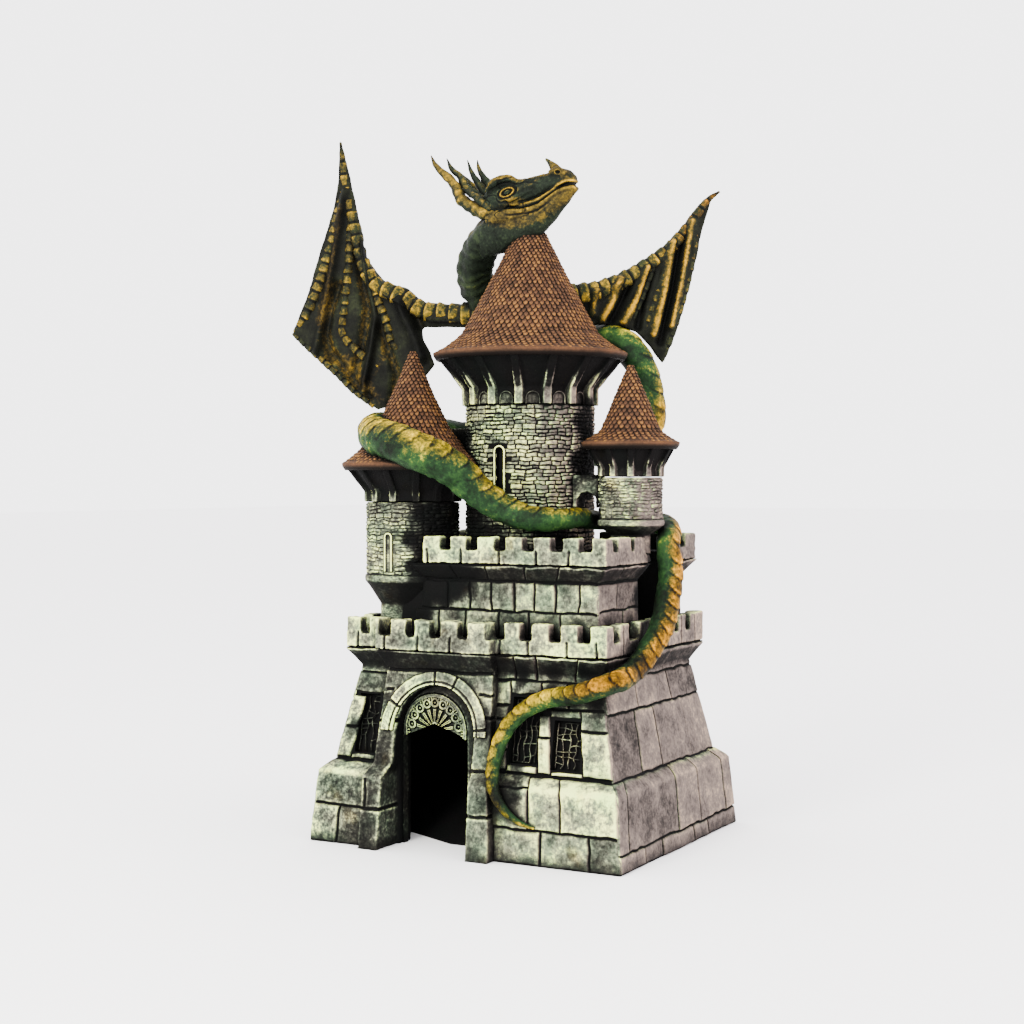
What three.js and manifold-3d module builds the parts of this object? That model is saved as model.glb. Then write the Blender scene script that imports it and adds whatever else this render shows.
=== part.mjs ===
// Dice tower: a painted resin castle with a dragon coiled round it.
// Units are millimetres. +X is to the right along the gate front, +Y to the back, +Z up.
// The castle is drawn about the centre of its own base; the outer group then moves the whole
// object so that the middle of its bounding box stands over the origin, with the base at z = 0.

import * as THREE from 'three';
import { mergeVertices } from 'three/addons/utils/BufferGeometryUtils.js';
import Module from 'manifold-3d';

const wasm = await Module();
wasm.setup();

// ---------------------------------------------------------------- driving dimensions

const GLUE = 0.3;              // gap left at every glued seam

// Outer half sizes of the lower keep at its changes of slope: [half x, half y, z].
const KEEP = [[78, 66, 0], [75, 63, 32.5], [70, 56, 37.6], [61, 47.5, 80], [66.3, 54, 88.5]];
const KEEP_INSIDE = [[68, 56, -1], [62, 48, 34], [51.5, 38, 79]];
const WALL_LEAN = Math.atan2(8.5, 42.4);
const THROAT = { x0: -24, x1: 26, y0: -30, y1: 30 };

// Gatehouse: [x left, x right, y front, z].
const GATE_BLOCK = [[-49, 17.8, -72, 0], [-48, 16, -69, 32.5], [-46.5, 13.2, -62, 37.6],
  [-44, 10.5, -54, 80], [-47, 12, -60, 88.5]];
const GATE_BACK = -36;
const REVEAL = { x: -16.5, half: 20.8, spring: 52.6 };
const DOOR = { x: -20.15, half: 16.75, spring: 50.5, apex: 55.8, lintel: 49.3 };
const FRAME_Y = -52;

const PARAPET_TOP = 102.5;
const PARAPET_SILL = 95;
const PARAPET_WALL = 6;

const UPPER_WALL = [58, 45];
const UPPER_Z = [94.8, 120.3, 127.7];
const UPPER_LIP = [64, 50];
const UPPER_SILL = 134;
const UPPER_TOP = 140;
const NICHE = { x: 43, y0: -3, y1: 25 };
const UPPER_HALL = [{ x0: -24, x1: 38, y0: -36, y1: 36 }, { x0: -48, x1: 38, y0: -2, y1: 36 }];

const TOWER = { x: 1, y: 0, r: 29.8, bore: 25, foot: 132.3, top: 199.6, brim: 45.5, eave: 222 };
const LEFT = { x: -45, y: -30, stem: 15, r: 21.5, ring: 120, top: 155, brim: 33, eave: 170.7 };
const RIGHT = { x: 54.9, y: -5, stem: 9, r: 14.3, ring: 146, top: 166.5, brim: 22.2, eave: 180 };

const INLET = { x: 1, half: 13, sill: 136, spring: 155 };
const SLIT = { half: 2.1, z0: 158.6, z1: 180.4 };

const LEFT_WING = { origin: [-22, 24], along: [-0.9624, -0.2715], thick: 2.4 };
const RIGHT_WING = { origin: [10, 28], along: [0.8303, 0.5573], thick: 2.4 };

// ---------------------------------------------------------------- colours

const PAINT = {
  stone: [0x9c9c8a, 0.85],
  stoneDark: [0x4a4d47, 0.9],
  roof: [0x7c4a38, 0.75],
  scale: [0x2f5a2c, 0.55],
  hide: [0x3d4a1f, 0.6],
};

// ---------------------------------------------------------------- geometry helpers

// The geometry as a solid: only positions are kept and shared corners are merged.
function solid(geometry) {
  const bare = geometry.clone();
  for (const name of ['normal', 'uv', 'color']) bare.deleteAttribute(name);
  const merged = mergeVertices(bare, 1e-4);
  const index = merged.index.array;
  const triangles = [];
  for (let i = 0; i < index.length; i += 3) {
    const [a, b, c] = [index[i], index[i + 1], index[i + 2]];
    if (a !== b && b !== c && c !== a) triangles.push(a, b, c);
  }
  return new wasm.Manifold(new wasm.Mesh({
    numProp: 3,
    vertProperties: new Float32Array(merged.attributes.position.array),
    triVerts: new Uint32Array(triangles),
  }));
}

function geometryOf(body) {
  const mesh = body.getMesh();
  const geometry = new THREE.BufferGeometry();
  geometry.setAttribute('position', new THREE.BufferAttribute(mesh.vertProperties, 3));
  geometry.setIndex(new THREE.BufferAttribute(mesh.triVerts, 1));
  return geometry;
}

const join = (bodies) => bodies.reduce((all, body) => all.add(body));
const cut = (body, tools) => tools.reduce((rest, tool) => rest.subtract(tool), body);

// The biggest separate solids that a cut has left, in order of volume.
function largestPieces(body, count) {
  const pieces = body.decompose().map((piece) => ({ piece, volume: piece.volume() }));
  pieces.sort((a, b) => b.volume - a.volume);
  return pieces.slice(0, count).map(({ piece }) => piece);
}

function box(x0, x1, y0, y1, z0, z1) {
  const geometry = new THREE.BoxGeometry(x1 - x0, y1 - y0, z1 - z0);
  geometry.translate((x0 + x1) / 2, (y0 + y1) / 2, (z0 + z1) / 2);
  return solid(geometry);
}

// A block whose bottom and top rectangles differ: each is [x0, x1, y0, y1, z].
function wedgeBox(bottom, top) {
  const geometry = new THREE.BoxGeometry(1, 1, 1);
  const position = geometry.attributes.position;
  for (let i = 0; i < position.count; i += 1) {
    const end = position.getZ(i) > 0 ? top : bottom;
    const x = position.getX(i) > 0 ? end[1] : end[0];
    const y = position.getY(i) > 0 ? end[3] : end[2];
    position.setXYZ(i, x, y, end[4]);
  }
  return solid(geometry);
}

// Wedge boxes stacked through levels of [half x, half y, z], all grown sideways by `grow`.
function stack(levels, grow = 0) {
  const ends = levels.map(([x, y, z]) => [-x - grow, x + grow, -y - grow, y + grow, z]);
  return join(ends.slice(1).map((top, i) => wedgeBox(ends[i], top)));
}

function gateBlock(grow = 0) {
  const ends = GATE_BLOCK.map(([x0, x1, y, z]) => [x0 - grow, x1 + grow, y - grow, GATE_BACK, z]);
  return join(ends.slice(1).map((top, i) => wedgeBox(ends[i], top)));
}

// A body turned about +Z from a profile of [radius, z], listed from the bottom outside upwards.
function turned(profile, at, segments = 32) {
  const points = profile.map(([r, z]) => new THREE.Vector2(r, z));
  const geometry = new THREE.LatheGeometry(points, segments);
  geometry.rotateX(Math.PI / 2);
  geometry.translate(at.x, at.y, 0);
  return solid(geometry);
}

// A flat outline in X and Z pushed back along +Y from y0 to y1, with optional holes.
function plate(points, y0, y1, holes = []) {
  const shape = new THREE.Shape(points.map(([x, z]) => new THREE.Vector2(x, z)));
  shape.holes = holes.map((hole) => new THREE.Path(hole.map(([x, z]) => new THREE.Vector2(x, z))));
  const geometry = new THREE.ExtrudeGeometry(shape, { depth: y1 - y0, bevelEnabled: false });
  geometry.rotateX(Math.PI / 2);
  geometry.translate(0, y1, 0);
  return solid(geometry);
}

// A flat outline in X and Y pushed up from z0 to z1.
function slab(points, z0, z1) {
  const shape = new THREE.Shape(points.map(([x, y]) => new THREE.Vector2(x, y)));
  const geometry = new THREE.ExtrudeGeometry(shape, { depth: z1 - z0, bevelEnabled: false });
  geometry.translate(0, 0, z0);
  return solid(geometry);
}

// Points of a round-headed opening: straight jambs to `spring`, then a half circle.
function archPoints(x, half, foot, spring, steps = 10) {
  const points = [[x - half, foot], [x + half, foot]];
  for (let i = 0; i <= steps; i += 1) {
    const turn = (Math.PI * i) / steps;
    points.push([x + half * Math.cos(turn), spring + half * Math.sin(turn)]);
  }
  return points;
}

// A tapering limb along a smooth path, or the stretch of it from `start` to `end` (shares of its
// length). radii are spread evenly over the path's points; both ends are cut square.
const FRAMES = 240;

function limb(path, radii, steps, sides = 8, start = 0, end = 1) {
  const points = path.map((p) => new THREE.Vector3(...p));
  const curve = new THREE.CatmullRomCurve3(points, false, 'centripetal');
  const frames = curve.computeFrenetFrames(FRAMES, false);
  const geometry = new THREE.CylinderGeometry(1, 1, 1, sides, steps);
  const position = geometry.attributes.position;
  const place = new THREE.Vector3();
  for (let i = 0; i < position.count; i += 1) {
    const share = THREE.MathUtils.lerp(start, end, position.getY(i) + 0.5);
    const along = curve.getUtoTmapping(share) * (radii.length - 1);
    const low = Math.min(Math.floor(along), radii.length - 2);
    const radius = THREE.MathUtils.lerp(radii[low], radii[low + 1], along - low);
    const frame = Math.round(share * FRAMES);
    curve.getPointAt(share, place);
    place.addScaledVector(frames.normals[frame], position.getX(i) * radius);
    place.addScaledVector(frames.binormals[frame], -position.getZ(i) * radius);
    position.setXYZ(i, place.x, place.y, place.z);
  }
  return solid(geometry);
}

const grown = (radii, extra) => radii.map((r) => r + extra);

// The same path with both ends drawn out by `extra`, for a seat that clears a limb's end faces.
function drawnOut(path, extra) {
  const points = path.map((p) => new THREE.Vector3(...p));
  const last = points.length - 1;
  const lead = points[0].clone().sub(points[1]).setLength(extra);
  const trail = points[last].clone().sub(points[last - 1]).setLength(extra);
  points[0].add(lead);
  points[last].add(trail);
  return points.map((p) => p.toArray());
}

// A ball stretched to three half sizes.
function egg(centre, size, turnZ = 0) {
  const geometry = new THREE.SphereGeometry(1, 10, 6);
  geometry.scale(...size);
  geometry.rotateZ(turnZ);
  geometry.translate(...centre);
  return solid(geometry);
}

// ---------------------------------------------------------------- castle bodies used as cutters

const keepOuter = (grow) => stack(KEEP, grow);

// Battlements run round a rectangle; each gap is a box through the wall above the sill.
function gapsAlongX(list, y0, y1, z) {
  return list.map(([a, b]) => box(a, b, y0, y1, z, z + 20));
}

function gapsAlongY(list, x0, x1, z) {
  return list.map(([a, b]) => box(x0, x1, a, b, z, z + 20));
}

// Turret silhouettes, grown by g, so that neighbours can be cut clear of them.
function leftDrumProfile(g) {
  return [[0, 94.8 - g], [LEFT.stem + g, 94.8 - g], [LEFT.stem + g, 108 - g],
    [LEFT.r + 0.8 + g, LEFT.ring - 1 - g], [LEFT.r + 0.8 + g, LEFT.ring + 1 + g],
    [LEFT.r + g, LEFT.ring + 1.8 + g], [LEFT.r + g, LEFT.top + g], [0, LEFT.top + g]];
}

function rightDrumProfile(g) {
  return [[0, 132.3 - g], [RIGHT.stem + g, 132.3 - g], [RIGHT.stem + g, 140.6 - g],
    [RIGHT.r + 0.9 + g, RIGHT.ring - 1 - g], [RIGHT.r + 0.9 + g, RIGHT.ring + 1 + g],
    [RIGHT.r + g, RIGHT.ring + 1.6 + g], [RIGHT.r + g, RIGHT.top + g], [0, RIGHT.top + g]];
}

function mainRoofProfile(g) {
  return [[0, TOWER.eave - g], [TOWER.brim + g, TOWER.eave - g], [TOWER.brim + g, TOWER.eave + 1.4],
    [38.4 + g, 227.4 + g], [31.5 + g, 233 + g], [25 + g, 245 + g], [17.1 + g, 259.6 + g],
    [12.3 + g, 269 + g], [6.1 + g, 282 + g], [3.2 + g, 287.5 + g], [0, 287.5 + g]];
}

function leftRoofProfile(g) {
  return [[0, LEFT.eave - g], [LEFT.brim + g, LEFT.eave - g], [LEFT.brim + g, LEFT.eave + 1.2],
    [24.5 + g, 178.6 + g], [16.9 + g, 188.6 + g], [11.4 + g, 200 + g], [7.4 + g, 208.8 + g],
    [0.6 + g, 225 + g], [0, 225 + g]];
}

function rightRoofProfile(g) {
  return [[0, RIGHT.eave - g], [RIGHT.brim + g, RIGHT.eave - g], [RIGHT.brim + g, RIGHT.eave + 1.2],
    [14.4 + g, 186.1 + g], [13.1 + g, 187.4 + g], [8.9 + g, 197 + g], [6.1 + g, 204 + g],
    [0.5 + g, 217 + g], [0, 217 + g]];
}

// A flaring corbel course: a cone with radial piers standing on the drum below it.
function corbelCourse(tower, bore, flareFoot, piers, pierWidth, proud) {
  const foot = tower.top + GLUE;
  const crown = tower.eave - GLUE;
  const rim = tower.brim - 2.2;
  const inner = bore > 0 ? bore : 0;
  const profile = [[inner, foot], [tower.r - 0.6, foot], [tower.r - 0.6, flareFoot], [rim - 1.6, crown],
    [inner, crown]];
  if (bore > 0) profile.push([inner, foot]);
  const parts = [turned(profile, tower, piers)];
  const r = tower.r;
  for (let i = 0; i < piers; i += 1) {
    const outline = [[r - 2, foot], [r + proud, foot], [r + proud, flareFoot], [rim, crown], [r - 2, crown]];
    const shape = new THREE.Shape(outline.map(([x, z]) => new THREE.Vector2(x, z)));
    const geometry = new THREE.ExtrudeGeometry(shape, { depth: pierWidth, bevelEnabled: false });
    geometry.rotateX(Math.PI / 2);
    geometry.translate(0, pierWidth / 2, 0);
    geometry.rotateZ((i * 2 * Math.PI) / piers);
    geometry.translate(tower.x, tower.y, 0);
    parts.push(solid(geometry));
  }
  return join(parts);
}

const corbelEnvelope = (tower, g) => turned([[0, tower.top - g], [tower.r + 2.4 + g, tower.top - g],
  [tower.brim - 1 + g, tower.eave - 2], [tower.brim - 1 + g, tower.eave + g], [0, tower.eave + g]],
  tower, 30);

// ---------------------------------------------------------------- lower keep and gate

// Moves a body drawn on an upright wall (outer face y = 0) onto the leaning front wall.
function onFrontWall(body) {
  return body.rotate([-(WALL_LEAN * 180) / Math.PI, 0, 0]).translate([0, -56, 37.6]);
}

const WINDOWS = [
  { name: 'slit_grille_left', x0: -61, x1: -50, z0: 3, z1: 30 },
  { name: 'window_grille_inner', x0: 19, x1: 34, z0: 4, z1: 33 },
  { name: 'window_grille_outer', x0: 40, x1: 54, z0: 2.5, z1: 24 },
];

function windowGrille({ x0, x1, z0, z1 }) {
  const bar = 1.1;
  const columns = 2;
  const rows = 4;
  const left = x0 + GLUE;
  const low = z0 + GLUE;
  const stepX = (x1 - x0 - 2 * GLUE - bar) / columns;
  const stepZ = (z1 - z0 - 2 * GLUE - bar) / rows;
  const bars = [];
  for (let i = 0; i <= columns; i += 1) {
    bars.push(box(left + i * stepX, left + i * stepX + bar, 2.4, 3.8, low, z1 - GLUE));
  }
  for (let k = 0; k <= rows; k += 1) {
    bars.push(box(left, x1 - GLUE, 2.4, 3.8, low + k * stepZ, low + k * stepZ + bar));
  }
  return onFrontWall(join(bars));
}

function keepShell() {
  const hall = stack(KEEP_INSIDE);
  const gateway = join([
    plate(archPoints(REVEAL.x, REVEAL.half + 4.2, -1, REVEAL.spring - 3), -80, -40),
    box(REVEAL.x - REVEAL.half - 4.2, REVEAL.x + REVEAL.half + 4.2, -80, -40, -1, 40),
  ]);
  const throat = box(THROAT.x0, THROAT.x1, THROAT.y0, THROAT.y1, 70, 95);
  const recesses = WINDOWS.map(({ x0, x1, z0, z1 }) => onFrontWall(box(x0, x1, -6, 4.1, z0, z1)));
  return cut(keepOuter(0), [hall, gateway, throat, gateBlock(GLUE), ...recesses]);
}

function gatehouse() {
  const block = gateBlock(0);
  const trimmed = block.intersect(box(-90, 90, -90, -44, -1, 88.5));
  const arch = plate(archPoints(REVEAL.x, REVEAL.half, -1, REVEAL.spring, 12), -90, -30);
  const splay = join([
    wedgeBox([-38.8, 6.7, -90, -54, -1], [-38.4, 6.3, -90, -54, 32.5]),
    wedgeBox([-38.4, 6.3, -90, -54, 32.5], [-37.3, 4.3, -90, -54, 38]),
  ]);
  return cut(trimmed, [arch, splay]);
}

// The moulded hood over the gate arch, standing 1.6 mm proud of the leaning gatehouse front.
function gateHood() {
  const outer = archPoints(REVEAL.x, REVEAL.half + 6.4, 60, REVEAL.spring, 14).slice(2);
  const inner = archPoints(REVEAL.x, REVEAL.half + 0.4, 60, REVEAL.spring, 14).slice(2).reverse();
  const band = plate([...outer, ...inner], -70, -50);
  const front = stack([[90, 61.6, 37.6], [90, 53.6, 80], [90, 53.6, 84]]);
  const behind = stack([[100, 62 + GLUE, 37.6], [100, 54 + GLUE, 80], [100, 54 + GLUE, 90]]);
  const shell = stack([[90, 63.8, 37.6], [90, 55.8, 80], [90, 55.8, 84]]).subtract(behind);
  return band.intersect(shell).subtract(gateBlock(GLUE)).subtract(front.subtract(behind.add(shell)));
}

function gateFrame() {
  const outer = archPoints(REVEAL.x, REVEAL.half - GLUE, 0, REVEAL.spring, 12);
  const hole = archPoints(DOOR.x, DOOR.half, -1, DOOR.spring + 2.3, 12);
  return plate(outer, FRAME_Y, FRAME_Y + 4.5).subtract(plate(hole, -60, -40));
}

// The carved half-round panel over the door: pierced foliage over an inverted-V lintel.
function gateTympanum() {
  const r = DOOR.half - GLUE;
  const head = archPoints(DOOR.x, r, 0, DOOR.spring + 2.3, 12).slice(2);
  const outline = [[DOOR.x, DOOR.apex], [DOOR.x + r, DOOR.lintel], ...head, [DOOR.x - r, DOOR.lintel]];
  const holes = [];
  for (let i = 0; i < 9; i += 1) {
    const turn = ((i + 1) * Math.PI) / 10;
    const reach = i % 2 === 0 ? 12.6 : 9.4;
    const centre = [DOOR.x + reach * Math.cos(turn), DOOR.spring + 3.2 + reach * Math.sin(turn) * 0.98];
    const hole = [];
    for (let k = 0; k < 6; k += 1) {
      const a = (-k * Math.PI) / 3;
      hole.push([centre[0] + 1.3 * Math.cos(a), centre[1] + 1.3 * Math.sin(a)]);
    }
    holes.push(hole);
  }
  return plate(outline, FRAME_Y + 1.2, FRAME_Y + 3.4, holes);
}

const deckOutline = (g) => [[-60.3 + g, 48 - g], [-60.3 + g, -48 + g], [-41 + g, -48 + g], [-41 + g, -54 + g],
  [6 - g, -54 + g], [6 - g, -48 + g], [60.3 - g, -48 + g], [60.3 - g, 48 - g]];

function lowerDeck() {
  const floor = slab(deckOutline(GLUE), 88.8, 94.5);
  return floor.subtract(box(THROAT.x0, THROAT.x1, THROAT.y0, THROAT.y1, 80, 100));
}

function lowerParapet() {
  const outer = slab([[-66.3, 54], [-66.3, -54], [-47, -54], [-47, -60], [12, -60], [12, -54], [66.3, -54],
    [66.3, 54]], 88.8, PARAPET_TOP);
  const inner = slab(deckOutline(0), 80, 110);
  const front = gapsAlongX([[-58.6, -53.5], [-45.2, -38.8], [-30.8, -26.1], [-18.3, -12.6], [-4.1, 1.1],
    [9.6, 16.5], [23.9, 30.1], [38.3, 44.2], [52.1, 58.3]], -70, -40, PARAPET_SILL);
  const back = gapsAlongX([-56, -42, -28, -14, 0, 14, 28, 42, 56].map((x) => [x - 3, x + 3]),
    40, 60, PARAPET_SILL);
  const sideGaps = [[-46.8, -40], [-31, -19], [-9, -3], [5, 11], [19, 25], [33, 39]];
  const right = gapsAlongY(sideGaps, 60, 70, PARAPET_SILL);
  const left = gapsAlongY(sideGaps, -70, -60, PARAPET_SILL);
  return cut(outer, [inner, ...front, ...back, ...right, ...left]);
}

// ---------------------------------------------------------------- upper keep

function upperKeep() {
  const [wx, wy] = UPPER_WALL;
  const [lx, ly] = UPPER_LIP;
  const body = stack([[wx, wy, UPPER_Z[0]], [wx - 0.4, wy - 0.4, UPPER_Z[1]], [lx, ly, UPPER_Z[2]]]);
  const hall = UPPER_HALL.map(({ x0, x1, y0, y1 }) => box(x0, x1, y0, y1, 90, 121));
  const shaft = turned([[0, 115], [TOWER.bore, 115], [TOWER.bore, 130], [0, 130]], TOWER);
  const turret = turned(leftDrumProfile(GLUE), LEFT, 24);
  const recess = box(NICHE.x, 80, NICHE.y0, NICHE.y1, 96.5, 150);
  return largestPieces(cut(body, [...hall, shaft, turret, recess]), 1)[0];
}

function upperParapetRing() {
  const [lx, ly] = UPPER_LIP;
  const outer = box(-lx, lx, -ly, ly, 128, UPPER_TOP);
  const inner = box(-lx + 6, lx - 6, -ly + 6, ly - 6, 120, 150);
  const front = gapsAlongX([[-18.8, -13.3], [-5.4, 0.6], [9, 14.8], [23, 28.7], [36.8, 42.9],
    [50.8, 57.4]], -60, -40, UPPER_SILL);
  const back = gapsAlongX([-52, -39, -26, -13, 0, 13, 26, 39, 52].map((x) => [x - 3, x + 3]),
    40, 60, UPPER_SILL);
  const right = gapsAlongY([[-43, -37], [-24, -20], [32, 38]], 55, 70, UPPER_SILL);
  const left = gapsAlongY([[-4, 2], [10, 16], [24, 30], [37, 43]], -70, -55, UPPER_SILL);
  const turret = turned(leftDrumProfile(GLUE), LEFT, 24);
  const foot = turned(rightDrumProfile(GLUE), RIGHT, 24);
  const recess = box(NICHE.x, 80, NICHE.y0, NICHE.y1, 120, 150);
  const besideTurret = box(-50, -27.5, -60, -40, 120, 150);
  return cut(outer, [inner, ...front, ...back, ...right, ...left, turret, foot, recess, besideTurret]);
}

function upperDeck() {
  const [lx, ly] = UPPER_LIP;
  const floor = box(-lx + 6 + GLUE, lx - 6 - GLUE, -ly + 6 + GLUE, ly - 6 - GLUE, 128, 132);
  const shaft = turned([[0, 120], [TOWER.bore, 120], [TOWER.bore, 140], [0, 140]], TOWER);
  const turret = turned(leftDrumProfile(GLUE), LEFT, 24);
  const recess = box(NICHE.x, 80, NICHE.y0, NICHE.y1, 120, 150);
  return cut(floor, [shaft, turret, recess]);
}

// ---------------------------------------------------------------- towers

function mainDrum() {
  const { r, bore, foot, top } = TOWER;
  const wall = turned([[bore, foot], [r, foot], [r, top], [bore, top], [bore, foot]], TOWER, 32);
  const inlet = plate(archPoints(INLET.x, INLET.half, INLET.sill, INLET.spring), 10, 40);
  const slit = plate(archPoints(TOWER.x, SLIT.half, SLIT.z0, SLIT.z1 - SLIT.half, 6), -40, -TOWER.r + 2.6);
  return cut(wall, [inlet, slit]);
}

function mainRoof() {
  const fit = TOWER.bore - 0.8;
  const spigot = turned([[0, 217], [fit, 217], [fit, 223], [0, 223]], TOWER);
  return turned(mainRoofProfile(0), TOWER, 28).add(spigot);
}

function leftDrum() {
  const slot = plate(archPoints(LEFT.x, 1, 124, 140, 4), LEFT.y - 30, LEFT.y - LEFT.r + 2);
  return turned(leftDrumProfile(0), LEFT, 24).subtract(slot);
}

// The main tower grown by g, from its foot to its roof, without its openings.
function mainTowerEnvelope(g) {
  const shaft = turned([[0, TOWER.foot - g], [TOWER.r + g, TOWER.foot - g], [TOWER.r + g, TOWER.top + g],
    [0, TOWER.top + g]], TOWER, 32);
  return join([shaft, corbelEnvelope(TOWER, g), turned(mainRoofProfile(g), TOWER, 28)]);
}

function leftTurretEnvelope(g) {
  return join([turned(leftDrumProfile(g), LEFT, 24), corbelEnvelope(LEFT, g),
    turned(leftRoofProfile(g), LEFT, 24)]);
}

function rightTurretEnvelope(g) {
  return join([turned(rightDrumProfile(g), RIGHT, 24), corbelEnvelope(RIGHT, g),
    turned(rightRoofProfile(g), RIGHT, 20)]);
}

const towersGrown = [mainTowerEnvelope(GLUE), leftTurretEnvelope(GLUE), rightTurretEnvelope(GLUE)];

// A wall bridging the narrow space between the main drum and the left turret's roof.
function leftBridge() {
  const block = box(-6, 6, -34, 34, 160.7, 189.5);
  const turn = (Math.atan2(LEFT.y - 10, LEFT.x) * 180) / Math.PI - 90;
  return cut(block.rotate([0, 0, turn]).translate([-33, -8, 0]), towersGrown)
    .intersect(box(-60, 0, -60, 30, 0, 300));
}

// A flying arch from the main drum to the right turret; the tail passes beneath it.
function rightBridge() {
  const wall = box(24, 50, -12, 2, 152.5, 167.6);
  const arch = plate(archPoints(35.8, 4.9, 140, 154.8, 8), -20, 10);
  return cut(wall, [arch, ...towersGrown]);
}

// ---------------------------------------------------------------- dice path

// A sloping shelf: its top face runs from [y, z] to [y, z], 3 mm thick, between x0 and x1.
function shelf(x0, x1, [ya, za], [yb, zb]) {
  const profile = new THREE.Shape([[ya, za - 3], [yb, zb - 3], [yb, zb], [ya, za]]
    .map(([y, z]) => new THREE.Vector2(y, z)));
  const geometry = new THREE.ExtrudeGeometry(profile, { depth: x1 - x0, bevelEnabled: false });
  geometry.rotateX(Math.PI / 2);
  geometry.rotateZ(Math.PI / 2);
  geometry.translate(x0, 0, 0);
  return solid(geometry);
}

const upperBaffle = () => shelf(-24 + GLUE, 38 - GLUE, [-4, 98.5], [36 - GLUE, 119]);

function middleBaffle() {
  const plank = shelf(-60, 60, [-60, 84.5], [6, 53]);
  return plank.intersect(stack(KEEP_INSIDE, -GLUE)).subtract(box(-90, 90, -90, 90, 78.7, 120));
}

// The exit ramp fills the back of the hall; its foot crosses the floor on the diagonal, so a
// rolling die is turned towards the gate.
function exitRamp() {
  const [ax, ay] = [-36.9, -33.8];
  const [bx, by] = [-8.2, -48.1];
  const heading = (Math.atan2(by - ay, bx - ax) * 180) / Math.PI;
  const profile = new THREE.Shape([[0, 0], [140, 0], [140, 60]].map(([u, z]) => new THREE.Vector2(u, z)));
  const geometry = new THREE.ExtrudeGeometry(profile, { depth: 260, bevelEnabled: false });
  geometry.rotateX(Math.PI / 2);
  geometry.rotateZ(Math.PI / 2);
  geometry.translate(-130, 0, 0);
  const hollow = box(-60, 60, 30, 130, -1, 8);
  const wedge = solid(geometry).subtract(hollow).rotate([0, 0, heading]).translate([ax, ay, 0]);
  const gatePassage = box(REVEAL.x - REVEAL.half - 4.6, 90, -90, -44 + GLUE, -1, 90);
  return wedge.intersect(stack(KEEP_INSIDE, -GLUE)).subtract(gatePassage);
}

// ---------------------------------------------------------------- dragon

const TORSO = [[14, 43, 229], [4, 44, 234], [-6, 40, 243], [-14, 33, 252], [-22, 27, 256]];
const NECK = [[-20, 29, 250], [-31, 24, 251], [-39, 17, 257], [-38, 11, 265], [-31, 5, 273], [-23, 1, 280],
  [-15, 0, 285], [-10, 0, 287.5]];
const NECK_RADII = [9.4, 9.9, 9, 8.4, 8.4, 8.8, 8.4, 8];
// The tail as one path of [x, y, z, radius]: from the hips down past the right turret's roof,
// round the back, over the left turret's eave, across the front of the main drum, under the
// flying arch, down the niche and round the corner to its tip beside the gate.
const TAIL = [
  [10, 43.5, 230.5, 9], [22, 39, 232, 8], [33, 38, 229, 7.4], [40, 38.5, 220, 7.1], [44.5, 38, 207, 7],
  [45, 38, 193, 7.2], [36, 40, 183, 7.5], [20, 43, 180, 7.8], [2, 45, 180, 8], [-18, 41, 180.5, 8.1],
  [-38, 27, 183, 8.3], [-55, 10, 187, 8.4], [-64.5, -6, 189, 8.4], [-66, -21, 188.9, 8.4],
  [-60.5, -37, 187.3, 8.5], [-49, -52, 184.4, 8.6], [-36, -59.5, 182, 8.6], [-26.4, -61, 178.8, 8.5],
  [-13.7, -56, 172.9, 8.2], [-8, -50, 167.2, 7.8], [-1.2, -44, 159.1, 7], [8, -39, 152.4, 6.4],
  [20.9, -36.4, 148, 5.6], [30, -31.5, 147.6, 4.9], [36, -20, 148.2, 4.4], [36.1, -6, 147, 4.3],
  [38.5, 6, 146.5, 4.3], [46, 17, 146, 4.5], [58, 20, 145, 4.8], [67, 11, 142.5, 5], [71, 0, 136, 5.2],
  [72.5, -0.5, 122.7, 5.4], [73.6, -6.3, 111.7, 5.5], [74, -13, 101, 5.4], [72.6, -23.8, 90.8, 5.2],
  [70.5, -38.5, 82, 5], [69.6, -52, 79.6, 4.8], [64.5, -58.5, 77.2, 4.6], [55, -58, 74, 4.3],
  [45.5, -56.5, 72.2, 4.1], [37.7, -55.5, 70.3, 3.9], [28, -55.8, 65.4, 3.6], [22.1, -57.3, 59.9, 3.4],
  [17.8, -59.6, 51.9, 3.2], [16.6, -62.6, 44.2, 3], [17.8, -67, 37.8, 2.8], [18.9, -68, 31.4, 2.5],
  [21.6, -67.6, 26.1, 2.1], [26.5, -67.2, 20.9, 1.6], [32.1, -66.6, 17.9, 1.1], [37.6, -66.2, 16.4, 0.5],
];
// The castings the tail is made in, as shares of its length, with rings and sides to draw each.
const TAIL_CASTINGS = [
  { name: 'tail_root', start: 0, end: 0.165, steps: 11, sides: 8 },
  { name: 'tail_back', start: 0.165, end: 0.37, steps: 9, sides: 8 },
  { name: 'tail_front', start: 0.37, end: 0.6, steps: 18, sides: 8 },
  { name: 'tail_side', start: 0.6, end: 1, steps: 30, sides: 7 },
];
const TAIL_SEAM = 0.0004;

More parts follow.
